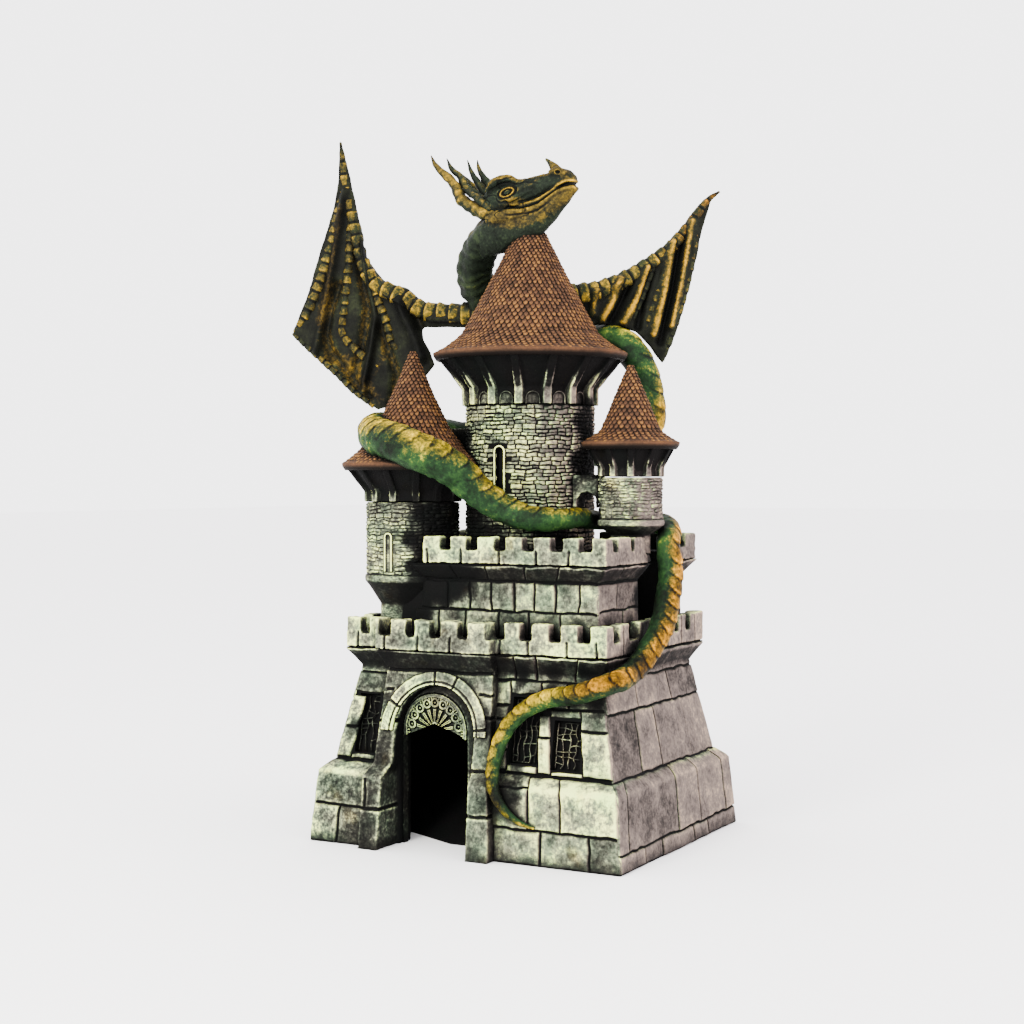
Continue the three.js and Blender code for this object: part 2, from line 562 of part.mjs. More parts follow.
// The head rests on the tip of the main roof, nose to the right and a little up.
function dragonHead(extra = 0) {
  const part = (path, radii, steps, sides) => limb(drawnOut(path, extra), grown(radii, extra), steps, sides);
  const skull = part([[-9, 0, 289], [-3, 0, 292.5], [5, 0.2, 295.5], [12, 0.4, 299.5], [19, 0.8, 302.5],
    [24.5, 1, 303]], [9.4, 9.2, 7.2, 5.9, 6.2, 3.4], 8, 9);
  const jaw = part([[-12, -0.2, 286.5], [-2, 0, 287], [7, 0.2, 291], [15, 0.6, 296.5], [21, 0.8, 300]],
    [7.8, 7.4, 6.2, 4.8, 3.4], 5, 7);
  const brows = [-7, 7].map((y) => egg([-8, y, 301.8], [5.2, 2.2, 3.4], 0.1));
  const nose = part([[17, 0.8, 306], [14, 0.6, 310.5], [9.2, 0.5, 315]], [2.4, 1.5, 0.35], 3, 5);
  const horns = [
    [[-13, -5, 292], [-28, -6, 297.6], [-37.6, -2.5, 306.5], [-44.6, 1.5, 315], [-54.7, 2.5, 324]],
    [[-12, -3, 297], [-24, -5, 302], [-33, -3.5, 309], [-40.6, -1.5, 316.4], [-44, -1.5, 321]],
    [[-12, 2, 298], [-20, 1.5, 304], [-27, 0.5, 311], [-32.5, 0.5, 319.5]],
    [[-11, 5.5, 298], [-18, 6.5, 305], [-23.3, 5.5, 313], [-29, 5.5, 320]],
  ].map((path) => part(path, [4, 2.9, 1.8, 0.35], 5, 5));
  return join([skull, jaw, ...brows, nose, ...horns]);
}

// A wing is drawn flat as [along, z], pushed to its thickness and turned to its bearing.
function wing({ origin, along, thick }, outline, bones) {
  const shape = new THREE.Shape(outline.map(([s, z]) => new THREE.Vector2(s, z)));
  const geometry = new THREE.ExtrudeGeometry(shape, { depth: thick, bevelEnabled: false });
  geometry.translate(0, 0, -thick / 2);
  const basis = new THREE.Matrix4().makeBasis(
    new THREE.Vector3(along[0], along[1], 0),
    new THREE.Vector3(0, 0, 1),
    new THREE.Vector3(along[1], -along[0], 0),
  );
  basis.setPosition(origin[0], origin[1], 0);
  geometry.applyMatrix4(basis);
  const fingers = bones.map(({ path, radii, steps }) => {
    const places = path.map(([s, z]) => [origin[0] + s * along[0], origin[1] + s * along[1], z]);
    return limb(places, radii, steps, 5);
  });
  return join([solid(geometry), ...fingers]);
}

const LEFT_OUTLINE = [[6, 250], [24, 250], [34, 252], [45, 253], [52, 260], [64, 263], [71, 268], [75.5, 277],
  [79.5, 291], [82, 304], [84, 322], [87.2, 333.9], [88, 316], [90, 302], [94, 290], [99, 275], [105, 256],
  [112, 239], [102.7, 230.4], [97.3, 225.3], [92.7, 222.8], [83.7, 212.7], [75.4, 205.2], [67.7, 200.1],
  [54, 204], [38.4, 222], [40.9, 228.4], [44.1, 234.4], [45, 240.3], [20, 240], [6, 242]];
const LEFT_BONES = [
  { path: [[-6, 247], [20, 246.5], [45, 247.5], [56, 256], [67, 260.5], [74, 268], [78, 285],
    [83, 312], [87, 334]],
    radii: [6.5, 5.6, 4.4, 4.8, 4.6, 3.8, 3, 2.2, 0.5], steps: 10 },
  { path: [[83.5, 316], [86, 302], [91, 288], [97, 272], [103, 256], [111.6, 239.4]],
    radii: [2, 2.8, 2.8, 2.5, 2.2, 0.8], steps: 5 },
  { path: [[80, 296], [82, 280], [83.2, 262], [85.4, 247], [86, 236], [84, 214]],
    radii: [2.4, 2.4, 2.3, 2.1, 1.8, 0.8], steps: 5 },
  { path: [[72, 264], [67, 252], [63.5, 243], [62, 226], [67.5, 201.5]],
    radii: [2.6, 2.4, 2.1, 1.8, 0.8], steps: 4 },
  { path: [[58, 256], [54, 246], [50.5, 234], [54, 206]], radii: [2.4, 2.1, 1.8, 0.8], steps: 3 },
];
const RIGHT_OUTLINE = [[4, 258], [8, 259.5], [19.5, 261.5], [29.3, 268], [44.3, 277], [52.8, 286.5], [59.4, 293.5],
  [64.5, 301], [71.3, 304.8], [66.8, 300], [64.3, 292.1], [59.4, 275.3], [53.5, 252.6], [48.4, 234.8],
  [43, 221.5], [37.5, 228.8], [30.5, 236.7], [17.6, 240], [4, 240]];
const RIGHT_BONES = [
  { path: [[-14, 251], [0, 254], [16, 257], [30, 264], [42, 272], [53, 284], [63, 299], [71, 305]],
    radii: [6.5, 5.6, 4.6, 4.2, 3.6, 2.6, 1.6, 0.5], steps: 9 },
  { path: [[60, 295], [58.5, 276], [52.7, 252], [43, 222]], radii: [2, 2.4, 2, 0.8], steps: 4 },
  { path: [[46, 276], [42, 262], [37, 246], [34, 233.5]], radii: [2.4, 2.2, 1.9, 0.9], steps: 3 },
  { path: [[33, 266], [28, 256], [22, 247], [17.6, 240.6]], radii: [2.4, 2.2, 1.8, 0.9], steps: 3 },
];

function hindLeg(side) {
  const hip = side < 0 ? [-12, 43, 237] : [12, 46, 235];
  const knee = [hip[0] + side * 13, hip[1] + 4, 241];
  const heel = [hip[0] + side * 15, hip[1] - 4, 230];
  const toe = [hip[0] + side * 11, hip[1] - 9, 228.5];
  return limb([hip, knee, heel, toe], [7, 6, 3.4, 2.6], 5, 8);
}

// ---------------------------------------------------------------- assembly

const nodes = [];

function add(name, body, paint) {
  const [colour, roughness] = PAINT[paint];
  const material = new THREE.MeshStandardMaterial({ color: colour, roughness, metalness: 0 });
  const mesh = new THREE.Mesh(geometryOf(body), material);
  mesh.name = name;
  nodes.push({ mesh, body });
  return body;
}

add('keep_shell', keepShell(), 'stone');
add('gatehouse', gatehouse(), 'stone');
add('gate_hood', gateHood(), 'stone');
add('gate_frame', gateFrame(), 'stoneDark');
add('gate_tympanum', gateTympanum(), 'stone');
for (const window of WINDOWS) add(window.name, windowGrille(window), 'stoneDark');
add('lower_deck', lowerDeck(), 'stone');
add('lower_parapet', lowerParapet(), 'stone');
add('upper_keep', upperKeep(), 'stone');
// The turret and the niche part the upper parapet: one piece runs round the back, one stands
// at the front.
const upperRing = largestPieces(upperParapetRing(), 2);
add('upper_parapet_back', upperRing[0], 'stone');
add('upper_parapet_front', upperRing[1], 'stone');
add('upper_deck', upperDeck(), 'stone');

add('main_drum', mainDrum(), 'stone');
add('main_corbels', corbelCourse(TOWER, TOWER.bore, 207.5, 15, 3.8, 2.2), 'stone');
add('main_roof', mainRoof(), 'roof');
add('left_turret_drum', leftDrum(), 'stone');
// The left turret's eave is wider than its distance to the main drum, so the drum bites into it.
const mainShaft = mainTowerEnvelope(GLUE);
add('left_turret_corbels', corbelCourse(LEFT, 0, 160, 13, 3.4, 1.2).subtract(mainShaft), 'stone');
add('left_turret_roof', turned(leftRoofProfile(0), LEFT, 24).subtract(mainShaft), 'roof');
add('right_turret_drum', turned(rightDrumProfile(0), RIGHT, 24), 'stone');
add('right_turret_corbels', corbelCourse(RIGHT, 0, 171, 11, 2.8, 0.9), 'stone');
add('right_turret_roof', turned(rightRoofProfile(0), RIGHT, 20), 'roof');
add('left_bridge', leftBridge(), 'stone');
add('right_bridge', rightBridge(), 'stone');

add('upper_baffle', upperBaffle(), 'stoneDark');
add('middle_baffle', middleBaffle(), 'stoneDark');
add('exit_ramp', exitRamp(), 'stoneDark');

// The dragon is cast apart from the castle. Each of its pieces is cut clear of the castle it
// seats on, and of the dragon pieces it is glued to.
const castleSeats = [...towersGrown, keepOuter(GLUE), gateBlock(GLUE),
  box(-66.6, 66.6, -54.3, 54.3, 88.4, PARAPET_TOP + GLUE),
  stack([[58.3, 45.3, 94], [58.3, 45.3, 120.3], [64.3, 50.3, 127.7], [64.3, 50.3, 140.3]])
    .subtract(box(NICHE.x + GLUE, 90, NICHE.y0 + GLUE, NICHE.y1 - GLUE, 90, 150))];

function torsoBody(extra) {
  const trunk = limb(drawnOut(TORSO, extra), grown([9, 13, 15.5, 14, 9], extra), 8, 10);
  return trunk.add(egg([-6, 37, 250], [15 + extra, 11 + extra, 9 + extra], 0.4));
}

const neckBody = (extra) => limb(drawnOut(NECK, extra), grown(NECK_RADII, extra), 10, 9);
const tailPath = TAIL.map(([x, y, z]) => [x, y, z]);
const tailRadii = TAIL.map(([, , , r]) => r);
const tailRootGrown = limb(tailPath, grown(tailRadii, GLUE), 11, 8, 0, 0.165);

// Only the one solid that holds the piece together is kept after its seats are cut.
function addSeated(name, body, seats, paint) {
  add(name, largestPieces(cut(body, [...castleSeats, ...seats]), 1)[0], paint);
}

addSeated('dragon_torso', torsoBody(0), [], 'scale');
addSeated('dragon_head', dragonHead(), [], 'scale');
addSeated('dragon_neck', neckBody(0), [torsoBody(GLUE), dragonHead(GLUE)], 'scale');
const bodySeats = [torsoBody(GLUE), neckBody(GLUE)];
addSeated('dragon_left_wing', wing(LEFT_WING, LEFT_OUTLINE, LEFT_BONES), bodySeats, 'hide');
addSeated('dragon_right_wing', wing(RIGHT_WING, RIGHT_OUTLINE, RIGHT_BONES), bodySeats, 'hide');
addSeated('dragon_left_leg', hindLeg(-1), bodySeats, 'scale');
addSeated('dragon_right_leg', hindLeg(1), [...bodySeats, tailRootGrown], 'scale');
for (const { name, start, end, steps, sides } of TAIL_CASTINGS) {
  const from = start > 0 ? start + TAIL_SEAM : start;
  const to = end < 1 ? end - TAIL_SEAM : end;
  const seats = start === 0 ? [torsoBody(GLUE)] : [];
  addSeated(name, limb(tailPath, tailRadii, steps, sides, from, to), seats, 'scale');
}

const castle = new THREE.Group();
const bounds = new THREE.Box3();
for (const { mesh } of nodes) {
  castle.add(mesh);
  mesh.geometry.computeBoundingBox();
  bounds.union(mesh.geometry.boundingBox);
}
castle.position.set(-(bounds.min.x + bounds.max.x) / 2, -(bounds.min.y + bounds.max.y) / 2, -bounds.min.z);

const diceTower = new THREE.Group();
diceTower.add(castle);

export default diceTower;
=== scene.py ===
import math

import bpy
import numpy as np
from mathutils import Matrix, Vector


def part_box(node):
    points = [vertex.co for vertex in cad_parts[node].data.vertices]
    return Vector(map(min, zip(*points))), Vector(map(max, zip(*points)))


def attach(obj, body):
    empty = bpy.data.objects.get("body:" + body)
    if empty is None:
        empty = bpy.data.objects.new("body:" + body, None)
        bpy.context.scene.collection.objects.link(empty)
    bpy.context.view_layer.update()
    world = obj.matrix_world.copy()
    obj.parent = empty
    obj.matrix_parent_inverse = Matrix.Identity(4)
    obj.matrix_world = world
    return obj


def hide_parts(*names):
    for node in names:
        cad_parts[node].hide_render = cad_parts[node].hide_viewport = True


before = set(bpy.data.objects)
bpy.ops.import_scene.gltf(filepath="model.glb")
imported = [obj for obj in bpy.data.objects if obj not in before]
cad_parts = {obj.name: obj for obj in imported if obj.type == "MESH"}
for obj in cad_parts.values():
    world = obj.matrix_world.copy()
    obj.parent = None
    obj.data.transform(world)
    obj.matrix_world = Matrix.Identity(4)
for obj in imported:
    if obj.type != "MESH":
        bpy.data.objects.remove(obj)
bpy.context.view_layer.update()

# Dice tower: a painted resin castle with a dragon coiled round it.
# Shapes are drawn in millimetres about the centre of the castle's base, then moved to the frame.

low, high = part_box("keep_shell")
ORIGIN = np.array([(low.x + high.x) / 2, (low.y + high.y) / 2, 0.0])
MM = 0.001

KEEP = np.array([[78, 66, 0], [75, 63, 32.5], [70, 56, 37.6], [61, 47.5, 80], [66.3, 54, 88.5]])
UPPER = np.array([[58, 45, 94.8], [57.6, 44.6, 120.3], [64, 50, 127.7]])
GATE = np.array([[-49, 17.8, -72, 0], [-48, 16, -69, 32.5], [-46.5, 13.2, -62, 37.6],
                 [-44, 10.5, -54, 80], [-47, 12, -60, 88.5]])
TOWER = dict(x=1, y=0, r=29.8, eave=222, piers=15)
LEFT = dict(x=-45, y=-30, r=21.3, eave=170.7, piers=13)
RIGHT = dict(x=54.9, y=-5, r=14.1, eave=180, piers=11)
REVEAL = dict(x=-16.5, half=20.9, spring=52.6)
DOOR = dict(x=-20.15, half=16.45, spring=52.8, apex=55.8, lintel=49.3)
AXES = {"y": np.array([0.0, 1, 0]), "x": np.array([1.0, 0, 0])}


# ---------------------------------------------------------------- noise and small maths

def lattice(i, j, k, seed):
    """A random value from 0 to 1 for each point of a whole-number grid."""
    h = (i.astype(np.uint32) * np.uint32(73856093)) ^ (j.astype(np.uint32) * np.uint32(19349663))
    h ^= (k.astype(np.uint32) * np.uint32(83492791)) ^ np.uint32((seed * 2654435761) & 0xFFFFFFFF)
    h ^= h >> np.uint32(15)
    h *= np.uint32(2246822519)
    h ^= h >> np.uint32(13)
    h *= np.uint32(3266489917)
    h ^= h >> np.uint32(16)
    return h.astype(np.float64) / 4294967295.0


def noise(points, size, seed=0):
    """Smooth value noise from -1 to 1, with features about `size` millimetres wide."""
    q = np.asarray(points, float) / size
    cell = np.floor(q)
    t = q - cell
    cell = cell.astype(np.int64)
    t = t * t * (3 - 2 * t)
    total = np.zeros(q.shape[:-1])
    for a in (0, 1):
        wa = t[..., 0] if a else 1 - t[..., 0]
        for b in (0, 1):
            wb = t[..., 1] if b else 1 - t[..., 1]
            for c in (0, 1):
                wc = t[..., 2] if c else 1 - t[..., 2]
                total += wa * wb * wc * lattice(cell[..., 0] + a, cell[..., 1] + b, cell[..., 2] + c, seed)
    return total * 2 - 1


def rough(points, size, octaves=3, seed=0):
    """Noise with finer noise added to it, `octaves` layers in all."""
    total, weight = 0, 0
    for i in range(octaves):
        total = total + noise(points, size / 2 ** i, seed + 17 * i) / 1.8 ** i
        weight += 1 / 1.8 ** i
    return total / weight


def smooth(a, b, x):
    """0 at a, 1 at b and a smooth step between them; a may be the larger."""
    t = np.clip((np.asarray(x, float) - a) / (b - a), 0, 1)
    return t * t * (3 - 2 * t)


def unit(v):
    return v / np.maximum(np.linalg.norm(v, axis=-1, keepdims=True), 1e-9)


def spline(points, n, start=0.0, end=1.0):
    """n points spread evenly along a smooth path; any further columns are carried with it."""
    p = np.asarray(points, float)
    t = np.concatenate([[0], np.cumsum(np.linalg.norm(np.diff(p[:, :3], axis=0), axis=1))])
    m = np.gradient(p, t, axis=0)
    fine = np.linspace(0, t[-1], 40 * len(p))
    i = np.clip(np.searchsorted(t, fine, side="right") - 1, 0, len(t) - 2)
    d = (t[i + 1] - t[i])[:, None]
    u = ((fine - t[i])[:, None]) / d
    q = ((2 * u ** 3 - 3 * u ** 2 + 1) * p[i] + (u ** 3 - 2 * u ** 2 + u) * d * m[i]
         + (-2 * u ** 3 + 3 * u ** 2) * p[i + 1] + (u ** 3 - u ** 2) * d * m[i + 1])
    s = np.concatenate([[0], np.cumsum(np.linalg.norm(np.diff(q[:, :3], axis=0), axis=1))])
    want = np.linspace(start, end, n) * s[-1]
    return np.stack([np.interp(want, s, q[:, c]) for c in range(q.shape[1])], 1), s[-1]


# ---------------------------------------------------------------- meshes

class Skin:
    """Patches of quads gathered into one mesh, with a tone and a gilding value at each point."""

    def __init__(self):
        self.points, self.faces, self.tone, self.gold, self.count = [], [], [], [], 0

    def patches(self, grids, out, tone=0.5, gold=0.0, wrap=False):
        """grids is (k, nu, nv, 3); out points away from the body at each patch's middle."""
        k, nu, nv = grids.shape[:3]
        index = self.count + np.arange(k * nu * nv).reshape(k, nu, nv)
        if wrap:
            index = np.concatenate([index, index[:, :, :1]], 2)
        quads = np.stack([index[:, :-1, :-1], index[:, 1:, :-1], index[:, 1:, 1:], index[:, :-1, 1:]], -1)
        a, b = nu // 2, nv // 2
        du = grids[:, min(a + 1, nu - 1), b] - grids[:, max(a - 1, 0), b]
        dv = grids[:, a, min(b + 1, nv - 1)] - grids[:, a, max(b - 1, 0)]
        turned = np.sum(np.cross(du, dv) * out, -1) < 0
        quads[turned] = quads[turned][..., ::-1]
        self.points.append(grids.reshape(-1, 3))
        self.faces.append(quads.reshape(-1, 4))
        shape = grids.shape[:3]
        for store, value in ((self.tone, tone), (self.gold, gold)):
            value = np.asarray(value, float)
            if value.ndim == 1:
                value = value[:, None, None]
            store.append(np.broadcast_to(value, shape).ravel())
        self.count += k * nu * nv

    def tube(self, rings, tone=0.5, gold=0.0):
        """rings is (n, sides, 3); both ends are drawn in to a point."""
        centre = rings.mean(1)
        first, last = centre[:1, None], centre[-1:, None]
        ends = [middle + (ring - middle) * 0.01 for middle, ring in ((first, rings[:1]), (last, rings[-1:]))]
        closed = np.concatenate([ends[0], rings, ends[1]])
        pad = [np.concatenate([v[:1], v, v[-1:]]) if np.ndim(v) == 2 else v for v in (tone, gold)]
        n, sides = closed.shape[:2]
        out = closed[n // 2, sides // 2] - closed[n // 2].mean(0)
        self.patches(closed[None], out[None], pad[0], pad[1], wrap=True)

    def mesh(self, name):
        return build(name, np.concatenate(self.points), np.concatenate(self.faces),
                     tone=np.concatenate(self.tone), gold=np.concatenate(self.gold))


def tube_rings(path, n, sides, refs, start=0.0, end=1.0, swell=None):
    """Rings along a path of [x, y, z, r]. refs are (share, direction) pairs that angle 0 faces, and swell
    gives the height of the relief. Returns the rings, the angles and the distance along the path."""
    line, total = spline(path, n, start, end)
    centre, radius = line[:, :3], line[:, 3]
    tangent = unit(np.gradient(centre, axis=0))
    share = np.linspace(start, end, n)
    knots = np.array([r[0] for r in refs], float)
    dirs = np.array([r[1] for r in refs], float)
    ref = np.stack([np.interp(share, knots, dirs[:, c]) for c in range(3)], 1)
    side = unit(ref - np.sum(ref * tangent, 1, keepdims=True) * tangent)
    other = np.cross(tangent, side)
    angle = np.linspace(-np.pi, np.pi, sides, endpoint=False)
    way = side[:, None] * np.cos(angle)[None, :, None] + other[:, None] * np.sin(angle)[None, :, None]
    along = share * total
    r = radius[:, None] * np.ones_like(angle)[None]
    if swell is not None:
        skin = centre[:, None] + way * radius[:, None, None]
        r = r + swell(along[:, None], angle[None], radius[:, None], skin)
    return centre[:, None] + way * r[..., None], angle, along


def read(items, key, width=3, kind=np.float32):
    """One property of a mesh's points, edges, loops or triangles, in rows of `width` numbers."""
    data = np.zeros(len(items) * width, kind)
    items.foreach_get(key, data)
    return data.reshape(-1, width)


def store(mesh, key, values):
    mesh.attributes.new(key, "FLOAT", "POINT").data.foreach_set("value", values.astype(np.float32))


def build(name, points, faces, **values):
    """A mesh in the frame from points in castle millimetres and quads or triangles. Each point carries a
    tone, a gilding value and the warmth that a painted pink side light gives its gold, orange towards the
    right."""
    mesh = bpy.data.meshes.new(name)
    faces = np.asarray(faces)
    mesh.vertices.add(len(points))
    mesh.vertices.foreach_set("co", (points * MM + ORIGIN).astype(np.float32).ravel())
    mesh.loops.add(faces.size)
    mesh.loops.foreach_set("vertex_index", faces.astype(np.int32).ravel())
    mesh.polygons.add(len(faces))
    mesh.polygons.foreach_set("loop_start", np.arange(0, faces.size, faces.shape[1], dtype=np.int32))
    mesh.polygons.foreach_set("use_smooth", np.ones(len(faces), bool))
    mesh.update(calc_edges=True)
    for key, value in {"tone": 0.5, "gold": 0.0, "warm": smooth(40, 66, points[:, 0]), **values}.items():
        store(mesh, key, np.broadcast_to(np.asarray(value, float), len(points)))
    return mesh


def edges_of(mesh):
    return read(mesh.edges, "vertices", 2, np.int32)


def spread(values, edges, count):
    """The mean of each point's neighbours."""
    a, b = edges[:, 0], edges[:, 1]
    n = np.maximum(np.bincount(a, minlength=count) + np.bincount(b, minlength=count), 1)
    columns = values.reshape(count, -1)
    total = [np.bincount(a, columns[b, c], count) + np.bincount(b, columns[a, c], count)
             for c in range(columns.shape[1])]
    return (np.stack(total, 1) / n[:, None]).reshape(values.shape)


def mark_edges(mesh, rounds=2):
    """Stores how far each point stands out from its neighbours: 0.5 flat, 1 an edge, 0 a crevice."""
    count = len(mesh.vertices)
    co, edges = read(mesh.vertices, "co").astype(float), edges_of(mesh)
    normal = read(mesh.vertex_normals, "vector")
    length = np.linalg.norm(co[edges[:, 0]] - co[edges[:, 1]], axis=1).mean()
    value = np.sum((co - spread(co, edges, count)) * normal, 1) / length
    for _ in range(rounds):
        value = 0.5 * value + 0.5 * spread(value, edges, count)
    store(mesh, "edge", np.clip(0.5 + 1.6 * value, 0, 1))


def castle_points(mesh):
    return (read(mesh.vertices, "co").astype(float) - ORIGIN) / MM


def cad(*nodes):
    """Points in castle millimetres and triangles of some CAD nodes."""
    points, faces, count = [], [], 0
    for node in nodes:
        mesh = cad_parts[node].data
        mesh.calc_loop_triangles()
        points.append(castle_points(mesh))
        faces.append(read(mesh.loop_triangles, "vertices", 3, np.int32) + count)
        count += len(mesh.vertices)
    return np.concatenate(points), np.concatenate(faces)


def recast(points, faces, cell, relax=0):
    """The same closed bodies rebuilt as one even skin of small quads: (points, quads, normals)."""
    mesh = bpy.data.meshes.new("recast")
    mesh.from_pydata(points.tolist(), [], faces.tolist())
    body = bpy.data.objects.new("recast", mesh)
    bpy.context.scene.collection.objects.link(body)
    change = body.modifiers.new("skin", "REMESH")
    change.mode = "VOXEL"
    change.voxel_size = cell
    done = bpy.data.meshes.new_from_object(body.evaluated_get(bpy.context.evaluated_depsgraph_get()))
    bpy.data.objects.remove(body)
    co, edges = read(done.vertices, "co").astype(float), edges_of(done)
    for _ in range(relax):
        co = 0.4 * co + 0.6 * spread(co, edges, len(co))
    done.vertices.foreach_set("co", co.astype(np.float32).ravel())
    done.update()
    normal = read(done.vertex_normals, "vector").astype(float)
    quads = read(done.loops, "vertex_index", 1, np.int32).reshape(-1, 4)
    bpy.data.meshes.remove(done)
    bpy.data.meshes.remove(mesh)
    return co, quads, normal


# Where black wash has pooled in sheltered stone and where shadow falls on it, both painted in as darkness:
# (x, y, z, radius, strength).
WASH_AND_SHADOW_POOLS = [
    (22, -54, 79, 9, 0.8), (38, -54, 79, 9, 0.85), (54, -53, 79, 8, 0.75), (28, -58, 60, 10, 0.75),
    (25, -62, 45, 12, 0.75), (24, -66, 30, 11, 0.55), (44, -58, 64, 9, 0.7), (60, -54, 70, 10, 0.6),
    (20, -55, 70, 10, 0.5), (13, -60, 30, 7, 0.5), (13, -60, 60, 8, 0.6),
    (-20, -44, 148, 27, 0.95), (-20, -44, 126, 25, 0.95), (-24, -14, 176, 22, 0.95), (-33, -47, 110, 15, 0.9),
    (-36, -48, 98, 9, 0.7), (-12, -30, 138, 15, 0.8), (8, -32, 134, 13, 0.85), (26, -22, 138, 16, 0.9),
    (33, 2, 172, 22, 0.95), (33, -2, 194, 15, 0.8), (38, -8, 150, 13, 0.9), (-20, -22, 150, 14, 0.8),
    (56, 11, 112, 22, 0.95), (62, -2, 112, 12, 0.8), (60, -6, 126, 9, 0.6), (-66, -30, 128, 8, 0.3),
    (-47, -52, 97, 10, 0.5), (-58, -56, 52, 7, 0.6), (-42, -60, 86, 7, 0.5), (15, -56, 84, 7, 0.7)]


def wash_and_shadow_at(points):
    """How far each point is left free of the painted wash and shadow pools: 1 is free, 0 black."""
    free_of_wash_and_shade = np.ones(len(points))
    for x, y, z, radius, strength in WASH_AND_SHADOW_POOLS:
        far = np.linalg.norm(points - [x, y, z], axis=1) / radius
        free_of_wash_and_shade *= 1 - strength * (1 - smooth(0.35, 1.0, far + 0.25 * noise(points, 6, 53)))
    return free_of_wash_and_shade


def place(name, mesh, paint, slot, *nodes, rounds=2, free_of_wash_and_shade=None, use_wash_and_shadow=True):
    """Adds a piece that stands for some CAD nodes, with how free its stone is of wash and painted shade, and
    how mauve a painted pink side light makes it.
    """
    mark_edges(mesh, rounds)
    if slot in ("stone", "stone_dark", "roof"):
        points, normal = castle_points(mesh), read(mesh.vertex_normals, "vector")
        value = wash_and_shadow_at(points) if use_wash_and_shadow and slot != "roof" else 1.0
        # Faces that look down are darkened with painted shade.
        value = value * (1 - 0.55 * smooth(0.25, 0.6, -normal[:, 2]))
        if free_of_wash_and_shade is not None:
            value = value * free_of_wash_and_shade(points)
        # Painted shade darkens the lower left of the castle; a painted pink side light tints the right flank
        # mauve.
        value = value * (1 - 0.2 * smooth(-8, -40, points[:, 0]) * (points[:, 2] < 125) * use_wash_and_shadow)
        store(mesh, "free_of_wash_and_shade", value)
        store(mesh, "mauve_side_light", smooth(0.35, 0.75, normal[:, 0]) * smooth(0, 30, points[:, 0]))
    mesh.materials.append(paint)
    piece = bpy.data.objects.new(name, mesh)
    bpy.context.scene.collection.objects.link(piece)
    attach(piece, "root")
    if nodes:
        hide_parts(*nodes)
    return piece


# ---------------------------------------------------------------- paints

# The view transform turned round: primaries to wide primaries, its inset, its outset and its curve.
TO_WIDE = np.array([[0.6274, 0.3293, 0.0433], [0.0691, 0.9195, 0.0113], [0.0164, 0.0880, 0.8956]])
INSET = np.array([[0.856627, 0.095121, 0.048252], [0.137319, 0.761242, 0.101439],
                  [0.111898, 0.076799, 0.811302]])
OUTSET = np.array([[1.127101, -0.110607, -0.016494], [-0.141330, 1.157824, -0.016494],
                   [-0.141330, -0.110607, 1.251936]])
STOPS = np.linspace(0.06, 0.985, 300)
CURVE = np.polyval([15.5, -40.14, 31.96, -6.868, 0.4298, 0.1191, -0.00232], STOPS)
STOP_RANGE, STOP_LOW = 16.5, 12.474
LIGHT = 3.3  # how bright the studio light makes a white paint
DARKEST, PALEST = 0.0012, 0.88
GAMMA = 2.2


def plain(*c):
    """An 8-bit colour as linear light."""
    c = np.array(c) / 255
    return np.where(c <= 0.04045, c / 12.92, ((c + 0.055) / 1.055) ** 2.4)


def look(*c):
    """The paint that looks like this 8-bit colour under the studio light, where bright light fades
    colours and dim light deepens them."""
    wide = np.clip(TO_WIDE @ plain(*c), 1e-5, 1) ** (1 / GAMMA)
    stop = np.interp(np.linalg.solve(OUTSET, wide), CURVE, STOPS)
    paint = np.linalg.solve(TO_WIDE, np.linalg.solve(INSET, 2 ** (stop * STOP_RANGE - STOP_LOW))) / LIGHT
    return np.clip(paint, DARKEST, PALEST)


GLOSS = 0.03  # low, so that the bright surroundings leave the black wash black
COLOUR_A, COLOUR_B, COLOUR_OUT = 6, 7, 2  # the colour sockets of a Mix node


